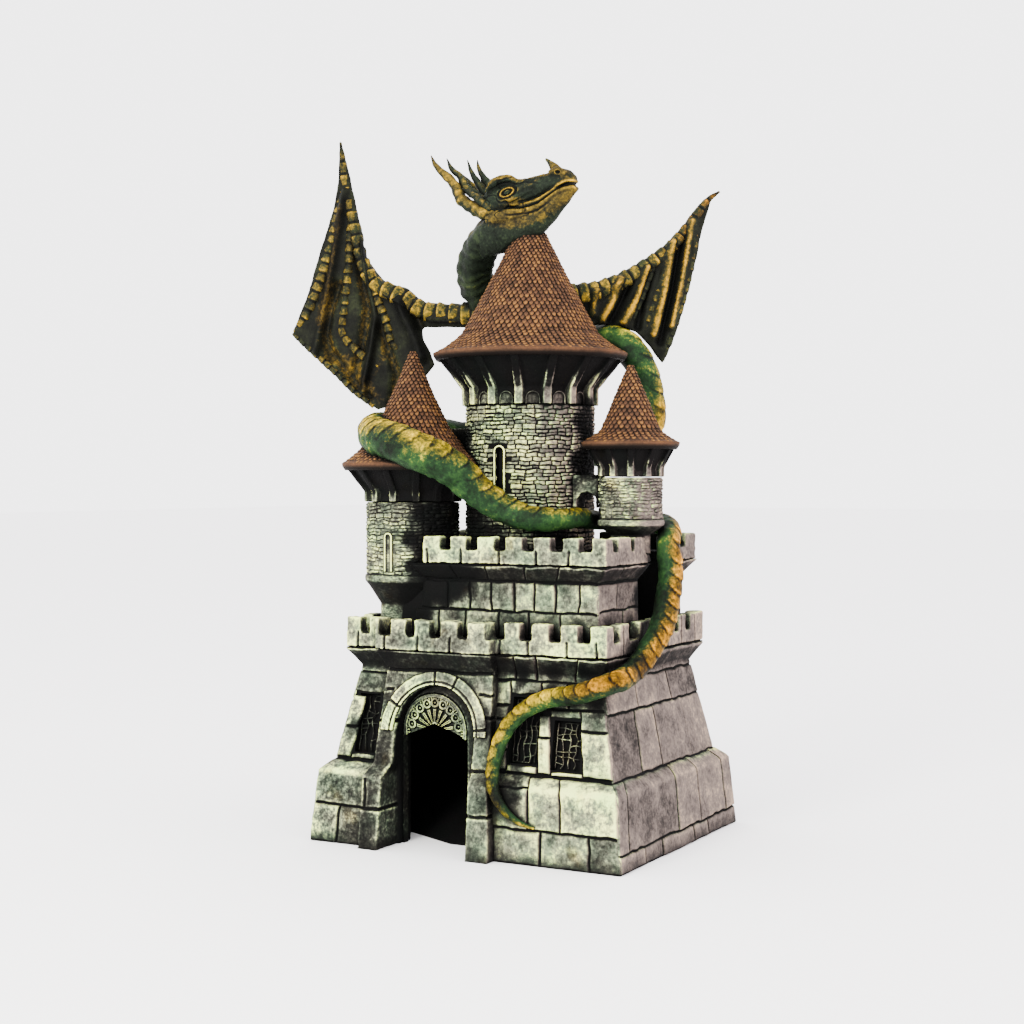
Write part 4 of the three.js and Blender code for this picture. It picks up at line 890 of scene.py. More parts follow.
def profile_at(profile, t):
    """Radius, height, outward normal and total length of a roof slope; t runs up from the brim."""
    p = np.asarray(profile, float)
    s = np.concatenate([[0], np.cumsum(np.linalg.norm(np.diff(p, axis=0), axis=1))])
    r, z = np.interp(t, s, p[:, 0]), np.interp(t, s, p[:, 1])
    dr, dz = (np.interp(t + 0.8, s, p[:, c]) - np.interp(t - 0.8, s, p[:, c]) for c in (0, 1))
    d = np.maximum(np.hypot(dr, dz), 1e-6)
    return r, z, dz / d, -dr / d, s[-1]


PITCH_AT_BRIM, PITCH_AT_TIP, SHINGLE_LIFT, SHINGLE_WIDTH = 2.9, 1.9, 0.95, 0.88


def shingles(skin, profile, at, rng):
    """Overlapping round-ended shingles, in rows that narrow towards the tip."""
    # The grid of one shingle: places across it and up it, and its height at each of the latter.
    u = np.array([-0.5, -0.38, -0.16, 0.16, 0.38, 0.5])
    v = np.array([0, 0.04, 0.4, 0.9, 1.7])
    rise = np.array([-0.1, 0.85, 1.0, 0.7, 0.0])
    total = profile_at(profile, 0)[4]
    t, row = 0.3, 0
    while t < total - 0.8:
        share = t / total
        pitch = PITCH_AT_BRIM + (PITCH_AT_TIP - PITCH_AT_BRIM) * share
        radius = float(profile_at(profile, t)[0])
        count = max(6, int(round(2 * np.pi * radius / pitch)))
        k = np.arange(count)
        centre = (k + 0.5 * (row % 2)) * 2 * np.pi / count
        tip = (2 * np.abs(u)) ** 1.7 * 0.55 * pitch
        slope = t + rng.uniform(-0.12, 0.12, count)[:, None, None] + tip[None, :, None] \
            + v[None, None, :] * (pitch * 0.92 - 0.3 * tip[None, :, None])
        slope = np.clip(slope, 0, total)
        r, z, nr, nz, _ = profile_at(profile, slope)
        h = SHINGLE_LIFT * rise[None, None, :] * (1 - 0.55 * (2 * np.abs(u)) ** 2)[None, :, None]
        h = h * rng.uniform(0.8, 1.2, count)[:, None, None]
        angle = centre[:, None, None] + (u * 2 * np.pi / count * SHINGLE_WIDTH)[None, :, None] + 0 * slope
        rr, zz = r + nr * h, z + nz * h
        grid = np.stack([at["x"] + rr * np.sin(angle), at["y"] - rr * np.cos(angle), zz], -1)
        skin.patches(grid, np.stack([np.sin(centre), -np.cos(centre), 0.5 + 0 * centre], -1),
                     rng.uniform(0, 1, count))
        t += pitch * 0.78
        row += 1


def roof(name, node, at, slope, rng, around):
    """A turned cone with a rolled brim just over the corbels, covered in shingles."""
    skin = Skin()
    brim, edge = slope[0]
    eave = at["eave"] - 0.9
    lathe(skin, [[0.3, eave], [brim - 1.4, eave], [brim - 0.2, edge - 0.4], [brim + 0.1, edge + 1.1]]
          + [[r - 0.25, z] for r, z in slope[1:]], at, around, 1.2, 0.12, 0.2)
    shingles(skin, slope, at, rng)
    place(name, skin.mesh(name), ROOF, "roof", node)


MAIN_SLOPE = [[45.5, 223.3], [38.4, 227.4], [31.5, 233], [25, 245], [17.1, 259.6], [12.3, 269], [7.2, 279.5],
              [4, 283], [0.5, 284]]
LEFT_SLOPE = [[33, 171.9], [24.5, 178.6], [16.9, 188.6], [11.4, 200], [7.4, 208.8], [0.6, 225]]
RIGHT_SLOPE = [[22.2, 181.2], [14.4, 186.1], [13.1, 187.4], [8.9, 197], [6.1, 204], [0.5, 217]]
roof("main_roof_shingles", "main_roof", TOWER, MAIN_SLOPE, rng, 144)
roof("left_roof_shingles", "left_turret_roof", LEFT, LEFT_SLOPE, rng, 120)
roof("right_roof_shingles", "right_turret_roof", RIGHT, RIGHT_SLOPE, rng, 90)


# ---------------------------------------------------------------- gate panel and window lattice

PANEL_FRONT, PANEL_BACK, RELIEF = -50.6, -48.9, 1.7
ROSETTES, ROSETTE_RING = 9, 12.3
BEADS, BEAD_RING, BORDER = 36, 14.2, 15.6


def tympanum():
    """Carved half-round panel: a border, a ring of rosettes and petals that fan from the lintel."""
    nt, na = 110, 260
    half, spring = DOOR["half"], DOOR["spring"]
    lean = math.atan2(DOOR["lintel"] - DOOR["apex"], half)
    angle = np.linspace(lean, np.pi - lean, na)
    way = np.stack([np.cos(angle), np.sin(angle)], 1)
    drop = spring - DOOR["apex"]
    b = -way[:, 1] * drop
    circle = -b + np.sqrt(np.maximum(b * b - (drop * drop - half * half), 0))
    wall = half / np.maximum(np.abs(way[:, 0]), 1e-6)
    below = DOOR["apex"] + way[:, 1] * wall < spring
    reach = np.where(below, wall, circle)
    t = np.linspace(0, 1, nt)
    x = way[None, :, 0] * reach[None] * t[:, None]
    z = way[None, :, 1] * reach[None] * t[:, None]
    px, pz = x, z + DOOR["apex"] - spring
    r, a = np.hypot(px, pz), np.arctan2(pz, px)
    height = smooth(1.4, 0.7, np.abs(r - BORDER))
    for i in range(ROSETTES):
        c = np.pi * (i + 0.5) / ROSETTES
        d = np.hypot(px - ROSETTE_RING * math.cos(c), pz - ROSETTE_RING * math.sin(c))
        height = np.maximum(height, 0.9 * smooth(0.75, 0.3, np.abs(d - 1.75)))
        height = np.maximum(height, 0.7 * smooth(0.8, 0.35, d))
    petals = np.abs(((a / np.pi * ROSETTES) % 1) - 0.5)
    fan = smooth(0.34, 0.16, petals) * smooth(10.2, 9.2, r) * smooth(1.6, 2.8, r)
    vein = smooth(0.10, 0.03, petals) * smooth(9, 8, r) * smooth(3, 5, r)
    height = np.maximum(height, 0.95 * fan - 0.7 * vein)
    outer = np.abs(((a / np.pi * BEADS) % 1) - 0.5)
    height = np.maximum(height, 0.8 * smooth(0.36, 0.18, outer) * smooth(0.9, 0.5, np.abs(r - BEAD_RING)))
    height = np.maximum(height, smooth(0.1, 0.05, t)[:, None] + 0 * r)
    edge = np.minimum(smooth(0, 0.02, t)[:, None], smooth(1, 0.985, t)[:, None])
    y = PANEL_FRONT - RELIEF * height * edge + 0.12 * noise(np.stack([x, z, 0 * x], -1), 1.2, 5)
    front = np.stack([x + DOOR["x"], y, z + DOOR["apex"]], -1)
    skin = Skin()
    skin.patches(front[None], np.array([[0, -1.0, 0]]), 0.6)
    back = front.copy()
    back[..., 1] = PANEL_BACK
    skin.patches(back[::4, ::4][None], np.array([[0, 1.0, 0]]), 0.3)
    rim = np.stack([front[-1], back[-1]])
    skin.patches(rim[None], np.array([[0, 0.0, 1.0]]), 0.4)
    lip = np.concatenate([front[::-1, 0], front[:, -1]])
    lip = np.stack([lip, lip * [1, 0, 1] + [0, PANEL_BACK, 0]])
    skin.patches(lip[None], np.array([[0, 0.0, -1.0]]), 0.4)
    return skin.mesh("gate_tympanum_carving")


place("gate_tympanum_carving", tympanum(), PALE, "stone", "gate_tympanum", rounds=1)

WALL_FOOT = KEEP[2]
LEAN = math.atan2(KEEP[2, 1] - KEEP[3, 1], KEEP[3, 2] - KEEP[2, 2])


def on_wall(x, y, z):
    """A point drawn on an upright wall, moved to the leaning front wall."""
    c, s = math.cos(LEAN), math.sin(LEAN)
    return [x, y * c + z * s - WALL_FOOT[1], -y * s + z * c + WALL_FOOT[2]]


def stems(x0, x1, z0, z1, rng):
    """Knotted stems that fill a window, in front of its back wall."""
    skin = Skin()
    columns = max(3, int((x1 - x0) / 2.8))
    rows = int((z1 - z0) / 2.6)
    knots = {(i, j): (x0 + 0.6 + (x1 - x0 - 1.2) * i / columns + rng.uniform(-0.7, 0.7) * (0 < i < columns),
                      z0 + 0.6 + (z1 - z0 - 1.2) * j / rows + rng.uniform(-0.8, 0.8) * (0 < j < rows))
             for i in range(columns + 1) for j in range(rows + 1)}
    lines = [[knots[i, j] for j in range(rows + 1)] for i in range(columns + 1)]
    for j in range(rows + 1):
        i = 0
        while i < columns:
            run = int(rng.integers(1, 3))
            if rng.uniform() < 0.62:
                lines.append([knots[k, j] for k in range(i, min(i + run, columns) + 1)])
            i += run
    for line in lines:
        path = [on_wall(x, 2.7 + rng.uniform(-0.3, 0.3), z) + [rng.uniform(0.24, 0.36)] for x, z in line]
        rings, _, _ = tube_rings(path, 4 * len(path), 6, [(0, (0, -1, 0.2))])
        skin.tube(rings, rng.uniform(0, 1))
    return skin


for name, x0, x1, z0, z1 in (("slit_grille_left", -61, -50, 3, 30), ("window_grille_inner", 19, 34, 4, 33),
                             ("window_grille_outer", 40, 54, 2.5, 24)):
    skin = stems(x0 + 0.2, x1 - 0.2, z0 + 0.2, z1 - 0.2, rng)
    # The stems in the window recesses are darkened evenly with wash and painted shade.
    place(name + "_stems", skin.mesh(name + "_stems"), STONE, "stone_dark", name, free_of_wash_and_shade=evenly(0.5))


# ---------------------------------------------------------------- dragon tail and neck

# The middle of the tail from the body to its tip, as [x, y, z, radius].
TAIL = [
    [10, 43.5, 230.5, 9], [22, 39, 232, 8], [33, 38, 229, 7.4], [40, 38.5, 220, 7.1], [44.5, 38, 207, 7],
    [45, 38, 193, 7.2], [36, 40, 183, 7.5], [20, 43, 180, 7.8], [2, 45, 180, 8], [-18, 41, 180.5, 8.1],
    [-38, 27, 183, 8.3], [-55, 10, 187, 8.4], [-64.5, -6, 189, 8.4], [-66, -21, 188.9, 8.4],
    [-60.5, -37, 187.3, 8.5], [-49, -52, 184.4, 8.6], [-36, -59.5, 182, 8.6], [-26.4, -61, 178.8, 8.5],
    [-13.7, -56, 172.9, 8.2], [-8, -50, 167.2, 7.8], [-1.2, -44, 159.1, 7], [8, -39, 152.4, 6.4],
    [20.9, -36.4, 148, 5.6], [30, -31.5, 147.6, 4.9], [36, -20, 148.2, 4.4], [36.1, -6, 147, 4.3],
    [38.5, 6, 146.5, 4.3], [46, 17, 146, 4.5], [58, 20, 145, 4.8], [67, 11, 142.5, 5], [71, 0, 136, 5.2],
    [72.5, -0.5, 122.7, 5.4], [73.6, -6.3, 111.7, 5.5], [74, -13, 101, 5.4], [72.6, -23.8, 90.8, 5.2],
    [70.5, -38.5, 82, 5], [69.6, -52, 79.6, 4.8], [64.5, -58.5, 77.2, 4.6], [55, -58, 74, 4.3],
    [45.5, -56.5, 72.2, 4.1], [37.7, -55.5, 70.3, 3.9], [28, -55.8, 65.4, 3.6], [22.1, -57.3, 59.9, 3.4],
    [17.8, -59.6, 51.9, 3.2], [16.6, -62.6, 44.2, 3], [17.8, -67, 37.8, 2.8], [18.9, -68, 31.4, 2.5],
    [21.6, -67.6, 26.1, 2.1], [26.5, -67.2, 20.9, 1.6], [32.1, -66.6, 17.9, 1.1], [37.6, -66.2, 16.4, 0.5]]
# The way the plated band faces, at numbered points of the tail.
TAIL_FACING = [(0, (0, 0.6, 0.9)), (3, (0.9, 0.1, 0.6)), (5, (1, -0.1, 0.2)), (8, (0, 0.8, 0.7)),
               (12, (-0.9, 0, 0.7)), (15, (-0.3, -0.5, 0.9)), (18, (0.35, -0.45, 0.9)),
               (21, (0.2, -0.35, 0.95)), (25, (0.3, 0.2, 0.9)), (29, (0.9, 0.2, 0.5)),
               (32, (0.95, -0.25, 0.2)), (35, (0.9, -0.35, 0.1)), (37, (0.2, -0.8, 0.5)),
               (40, (0, -0.75, 0.65)), (43, (-0.35, -0.85, 0.3)),
               (46, (-0.45, -0.9, 0.1)), (50, (-0.2, -0.9, -0.3))]
tail_line = np.array(TAIL)[:, :3]
tail_at = np.concatenate([[0], np.cumsum(np.linalg.norm(np.diff(tail_line, axis=0), axis=1))])
tail_at /= tail_at[-1]
TAIL_REFS = [(tail_at[i], d) for i, d in TAIL_FACING]
BAND = math.radians(50)
PLATE = 7.2  # length of a plate


def plates(along, angle):
    """Height from 0 to 1 of overlapping belly plates: each rises slowly, then drops at its edge."""
    bow = 0.35 * PLATE * (angle / BAND) ** 2
    phase = (along + bow) / PLATE + 0.22 * np.sin(along / 11.0)
    step = phase - np.floor(phase)
    return step * (1 - smooth(0.9, 1.0, step))


def low_tail(points):
    """1 where the tail runs down the right corner; its plates are crisper and more gilded there."""
    return smooth(150, 130, points[..., 2])


def tail_swell(along, angle, radius, flat):
    inside = 1 - smooth(0.7, 1.25, np.abs(angle) / BAND)
    muscle = rough(flat, 7, 3, 19)
    fold = noise(np.stack([along / 3 + 0 * angle, angle * 1.1 + 0 * along, 0 * (along + angle)], -1), 1.0, 71)
    saw = plates(along, angle) * (0.55 + 0.45 * low_tail(flat))
    return radius * (inside * (0.02 + 0.12 * saw) + 0.06 * muscle + (1 - inside) * 0.05 * fold)


CASTINGS = [("tail_root", 0.0, 0.165), ("tail_back", 0.165, 0.37), ("tail_front", 0.37, 0.6),
            ("tail_side", 0.6, 1.0)]
for name, start, end in CASTINGS:
    rings, angle, along = tube_rings(TAIL, int(900 * (end - start)), 72, TAIL_REFS, start, end, tail_swell)
    inside = np.exp(-(np.abs(angle) / BAND) ** 2)
    saw, low = plates(along[:, None], angle[None]), low_tail(rings)
    patchy = 0.5 * rough(rings, 14, 3, 44)
    gold = inside[None] * (0.4 + 0.26 * low + (0.14 + 0.08 * low) * saw + patchy) + 0.14
    side_tone = 0.5 + 0.6 * rough(rings, 18, 3, 5) - 0.5 * inside[None] * smooth(0.12, 0.0, saw)
    skin = Skin()
    skin.tube(rings, side_tone, gold)
    place(name + "_plated", skin.mesh(name), SCALE, "dragon", name)


NECK = [[-20, 29, 250, 9.4], [-29.5, 24, 251, 9.8], [-35.5, 17, 257, 9], [-34.5, 10, 265, 8.2],
        [-29, 4, 273, 8.2], [-22.5, 0, 279.5, 8.4], [-13.5, -2.5, 283.5, 7.4], [-7.5, -3, 285.5, 6]]


def neck_swell(along, angle, radius, flat):
    """Long muscles with wrinkles across them."""
    ropes = 0.07 * np.cos(angle * 4 + along * 0.12 + 0.8 * noise(flat, 14, 3))
    wrinkle = 0.03 * np.sin(along * 1.1 + 1.5 * np.cos(angle) + 2 * noise(flat, 9, 4))
    return radius * (ropes + wrinkle + 0.14 * rough(flat, 11, 3, 23))


skin = Skin()
NECK_REFS = [(0, (-0.6, -0.3, 1)), (1, (-0.3, -0.4, 1))]
rings, angle, along = tube_rings(NECK, 110, 72, NECK_REFS, swell=neck_swell)
gold = 0.2 + 0.25 * np.exp(-(angle / 0.7) ** 2)[None] * np.ones(len(rings))[:, None]
skin.tube(rings, 0.5 + 0.4 * rough(rings, 14, 2, 6), gold)
place("dragon_neck_muscles", skin.mesh("dragon_neck_muscles"), NECK_PAINT, "dragon", "dragon_neck")


def scaled_body(node, cell, size):
    """A dragon casting with round scales pressed over it."""
    points, faces, normal = recast(*cad(node), cell, 6)
    scale = np.abs(noise(points, size, 41))
    depth = 0.45 * rough(points, 12, 3, 4) + 0.5 * smooth(0.0, 0.45, scale) - 0.25
    mesh = build(node + "_scaled", points + normal * depth[:, None], faces,
                 gold=0.18 + 0.3 * smooth(0.3, 0.6, scale) * (normal[:, 2] > 0.2))
    place(node + "_scaled", mesh, NECK_PAINT, "dragon", node)


scaled_body("dragon_torso", 0.8, 3.4)
scaled_body("dragon_left_leg", 0.6, 2.6)
scaled_body("dragon_right_leg", 0.6, 2.6)


# ---------------------------------------------------------------- wings

def beads(skin, places, n, pitch, depth, gold, front):
    """A wing bone as a chain of overlapping cups along [x, y, z, r]; angle 0 faces `front`."""
    def swell(along, angle, radius, flat):
        phase = along / pitch
        step = phase - np.floor(phase)
        cup = step ** 0.7 * (1 - smooth(0.86, 1.0, step))
        return radius * (depth * cup - 0.08 + 0.12 * rough(flat, 3, 2, 37))
    rings, angle, along = tube_rings(places, n, 18, [(0, tuple(front))], swell=swell)
    phase = along / pitch
    step = (phase - np.floor(phase))[:, None] + 0 * angle[None]
    notch = smooth(0.18, 0.02, step) + smooth(0.93, 1.0, step)
    facing = 0.5 + 0.5 * np.cos(angle - 0.5)[None]
    # Less gold is left on the bones near the body.
    patchy = (1 + 0.5 * rough(rings, 12, 2, 51)) * (0.5 + 0.5 * smooth(40, 72, np.abs(rings[..., 0])))
    skin.tube(rings, 0.62 - 0.75 * notch + 0.2 * rough(rings, 6, 2, 52),
              gold * (0.42 + 0.5 * facing * step ** 0.5) * (1 - 0.7 * notch) * patchy)


def wing(name, node, origin, along, folds, bones):
    """A membrane folded at right angles to the wing's plane, and its bones. The plane stands upright: s runs
    out along it from the origin, and a bone is (a path of [s, z, r], pitch, depth and gilding)."""
    points, faces, normal = recast(*cad(node), 0.7, 3)
    flat = np.array([along[0], along[1]])
    s = (points[:, :2] - origin) @ flat
    across = np.array([along[1], -along[0], 0.0])
    sag, gold = folds(s, points[:, 2])
    points = points + across * (2.1 * sag)[:, None] + normal * (0.35 * rough(points, 5, 3, 9))[:, None]
    tone = 0.45 + 0.42 * np.clip(sag, -1.6, 1.6) + 0.3 * rough(points, 9, 3, 10)
    skin = Skin()
    for path, pitch, depth, shine in bones:
        places = [[origin[0] + a * flat[0], origin[1] + a * flat[1], z, r * 0.92] for a, z, r in path]
        length = np.linalg.norm(np.diff(np.array(places)[:, :3], axis=0), axis=1).sum()
        beads(skin, places, int(length / 0.62), pitch, depth, shine, across)
    membrane = build(name + "_membrane", points, faces, gold=gold, tone=tone, warm=0.35)
    place(name + "_membrane", membrane, HIDE, "wing", node)
    place(name + "_bones", skin.mesh(name + "_bones"), HIDE, "wing")


def ridge(s, z, path, width, height):
    """Height of a rounded ridge along a path of [s, z]."""
    p = np.stack([s, z], 1)
    best = np.full(len(s), 1e9)
    for a, b in zip(path[:-1], path[1:]):
        a, d = np.array(a, float), np.array(b, float) - np.array(a, float)
        t = np.clip((p - a) @ d / (d @ d), 0, 1)
        best = np.minimum(best, np.linalg.norm(p - a - t[:, None] * d, axis=1))
    return height * np.exp(-(best / width) ** 2)


def ridges(s, z, lines):
    return sum(ridge(s, z, path, width, height) for path, width, height in lines)


def left_folds(s, z):
    """Height of the left membrane's folds, and its gilding."""
    lines = [([[84, 308], [88, 288], [92, 265], [97, 240], [100, 228]], 2.0, -1.2),
             ([[88, 262], [93, 250], [95, 238], [92, 226]], 2.6, 1.6),
             ([[79, 290], [77, 270], [73, 250], [76, 232], [80, 218]], 2.4, 1.4),
             ([[75, 282], [72, 262], [68, 246], [71, 228], [75, 210]], 1.8, -1.4),
             ([[72, 275], [69, 255], [66, 240], [58, 218], [60, 204]], 2.2, 1.2),
             ([[56, 252], [50, 240], [45, 226]], 3.0, -1.5), ([[50, 250], [46, 241]], 2.2, 1.2),
             ([[90, 228], [82, 216], [72, 207]], 2.0, 1.3)]
    sag = ridges(s, z, lines)
    gold = 0.08 + 0.5 * np.clip(sag, 0, 1)
    streaks = [([[86, 300], [90, 280], [94, 262], [98, 244]], 2.4, 0.5),
               ([[90, 262], [96, 244], [93, 226]], 2.4, 0.35),
               ([[84, 226], [76, 214], [66, 206]], 3.2, 0.45), ([[62, 240], [66, 222], [74, 212]], 2.2, 0.35)]
    return sag, np.minimum(gold + ridges(s, z, streaks), 0.5)


def right_folds(s, z):
    """The same for the right membrane."""
    lines = [([[36, 267], [30, 252], [24, 241]], 2.2, 1.5), ([[38, 268], [33, 250], [31, 239]], 1.8, -1.4),
             ([[48, 280], [44, 256], [39, 236]], 2.6, 1.4), ([[52, 284], [48, 258], [42, 232]], 2.0, -1.4),
             ([[57, 290], [52, 262], [47, 240]], 2.0, 1.3), ([[22, 262], [18, 250], [14, 243]], 2.5, 1.3),
             ([[28, 264], [23, 251], [18, 242]], 2.0, -1.4), ([[10, 256], [9, 246]], 2.2, 1.0)]
    sag = ridges(s, z, lines)
    return sag, 0.14 + 0.34 * np.clip(sag, 0, 1)


left_bones = [
    ([[-6, 247, 6.6], [8, 246.6, 6.0], [20, 246.7, 5.4], [34, 247.5, 4.6], [45, 249, 4.4], [54, 254.5, 4.6],
      [62, 258.5, 4.4], [70, 263, 3.8], [75.5, 274, 3.2], [80, 292, 2.9], [83.5, 308, 2.4], [85.6, 322, 1.8],
      [87, 333, 0.6]], 6.2, 0.3, 0.85),
    ([[84, 312, 1.6], [86, 303, 2.6], [89.4, 289, 2.9], [93.6, 275, 2.9], [99.5, 259, 2.7], [105.5, 247, 2.3],
      [111.2, 239.6, 0.9]], 5.0, 0.42, 0.85),
    ([[81.5, 304, 1.4], [82, 285, 2.2], [83.2, 265, 2.3], [85.3, 247, 2.2], [85.8, 238, 2.1], [80, 231, 2.0],
      [74, 226, 1.9], [67.5, 221.5, 1.2]], 5.2, 0.36, 0.95),
    ([[72, 265, 2.0], [69.7, 261, 2.3], [66.5, 252, 2.4], [63, 243, 2.3], [60.2, 233.5, 2.0],
      [57, 229, 1.0]], 4.8, 0.36, 0.95),
    ([[60, 259, 1.6], [56.3, 247, 1.9], [50.8, 234, 1.5], [48.5, 228, 0.8]], 5.2, 0.24, 0.5),
    ([[112, 238.8, 1.0], [106, 233.5, 1.6], [98, 226.4, 1.7], [90, 219.3, 1.7], [80, 209.6, 1.6],
      [70, 202, 1.2]], 4.4, 0.3, 0.7)]
right_bones = [
    ([[-14, 251, 6.6], [0, 254, 5.8], [12, 256.5, 5.0], [24, 261.5, 4.4], [36, 269, 3.8], [46, 276.5, 3.4],
      [54, 285.5, 2.9], [61, 295, 2.3], [66, 301.3, 1.5], [71, 304.8, 0.6]], 5.4, 0.2, 0.7),
    ([[59.5, 293, 1.4], [58.5, 280, 2.2], [55.6, 264, 2.1], [51.6, 248, 1.9], [46.5, 232, 1.6],
      [43.2, 223, 0.9]], 5.4, 0.22, 0.45),
    ([[49, 279, 1.5], [45, 268, 2.2], [41, 256, 2.2], [37, 244, 1.9], [34.4, 235, 1.1]], 5.0, 0.3, 0.8),
    ([[39.5, 270.6, 1.6], [35, 259, 2.0], [30.5, 248, 1.8], [27.2, 239.5, 1.0]], 5.0, 0.2, 0.5)]
wing("left_wing", "dragon_left_wing", np.array([-22, 24.0]), (-0.9624, -0.2715), left_folds, left_bones)
wing("right_wing", "dragon_right_wing", np.array([10, 28.0]), (0.8303, 0.5573), right_folds, right_bones)


# ---------------------------------------------------------------- dragon head

def loft(path, n, sides):
    """A closed limb along [x, y, z, r], or [x, y, z, r, r across] where its section is an oval."""
    line, _ = spline(path, n)
    centre, radius = line[:, :3], line[:, 3]
    tangent = unit(np.gradient(centre, axis=0))
    ref = AXES["y"]
    side = unit(ref - np.sum(ref * tangent, 1, keepdims=True) * tangent)
    other = np.cross(tangent, side)
    angle = np.linspace(0, 2 * np.pi, sides, endpoint=False)
    wide = line[:, 4] if line.shape[1] > 4 else radius
    rings = centre[:, None] + side[:, None] * (np.cos(angle)[None, :] * wide[:, None])[..., None] \
        + other[:, None] * (np.sin(angle)[None, :] * radius[:, None])[..., None]
    return rings


MOUTH_X = [-6, -3.4, 1.4, 5.5, 9.7, 12.6, 15.6, 19, 22.6, 25, 29]
MOUTH_Z = [292.0, 291.7, 291.9, 292.6, 293.6, 295.4, 297.4, 299.6, 301.0, 301.2, 301.0]
BROW_X = [-17, -14, -10, -5, -1, 5, 12, 18]
BROW_Z = [301, 304, 306.4, 306.6, 304.6, 305.6, 307, 309]
EYE_X, EYE_Z = -5.6, 298.9
NOSTRIL_X, NOSTRIL_Z = 19.6, 306.6


def blob(x, z, x0, z0, wide, high):
    """A soft oval spot on the side of the head."""
    return np.exp(-(((x - x0) / wide) ** 2 + ((z - z0) / high) ** 2))


def line_at(distance, width):
    return np.exp(-(distance / width) ** 2)


# The parts of the head, as [x, distance from its middle plane, z, radius] or with a second radius across.
HEAD_Y = -3.0
SKULL = [[-21, 0, 290, 4.5, 5], [-16, 0, 294, 7.6, 7.6], [-10, 0, 297, 8.4, 8.4], [-4, 0, 298.6, 7.6, 7.8],
         [2, 0, 300, 6.2, 6.4], [8, 0, 301.4, 5.4, 5.4], [14, 0, 303, 5.0, 5.0], [19, 0, 304, 4.9, 4.8],
         [23, 0, 303.4, 4.0, 4.0], [26, 0, 302.8, 2.2, 2.4]]
JAW = [[-31.5, 7, 269.5, 5, 5], [-26, 4.4, 275.5, 7, 7], [-19, 1.8, 279.8, 8.8, 8.4],
       [-11.5, 0, 282.2, 10.2, 8.8], [-4.5, 0, 284.2, 10.2, 8.4], [2.5, 0, 286.4, 9.2, 7.4],
       [9.5, 0, 290.2, 7.4, 6.2], [16.5, 0, 295.2, 5.6, 5], [21.6, 0, 298.6, 4.6, 4],
       [26, 0, 300.6, 2.6, 2.6]]
BROW = [[-17, 6.4, 300, 1.3], [-14.6, 7, 303, 1.9], [-10, 6.8, 305.3, 1.9], [-5, 6.0, 305.4, 1.8],
        [-1, 5.2, 303.4, 1.5], [5, 3.6, 304.6, 1.2], [12, 3.2, 306.2, 0.9]]
CHEEK = [[-17, 6.4, 287, 2.2], [-11, 7.2, 287.6, 3.4], [-4, 6.6, 288.2, 3.0], [3, 5.4, 289.4, 2.2]]
LID = [[-8.6, 7.2, 296.4, 0.9], [-4.6, 7.3, 295.6, 1.3], [0, 6.2, 297.4, 1.3], [6, 4.8, 299.6, 1.0]]
NOSTRIL = [[14.5, 3.4, 306.6, 1.5], [18.5, 3.9, 307.2, 2.2], [22.5, 3.2, 305.2, 1.7]]
CHIN = [[12, 3.6, 293.6, 1.6], [18, 3.2, 297.4, 1.7], [23, 1.8, 299.6, 1.5]]
NOSE_HORN = [[17.5, 0, 306.4, 2.8], [15.4, 0, 309.4, 2.2], [13.4, 0, 311.6, 1.4], [10.4, 0, 314.6, 0.5]]


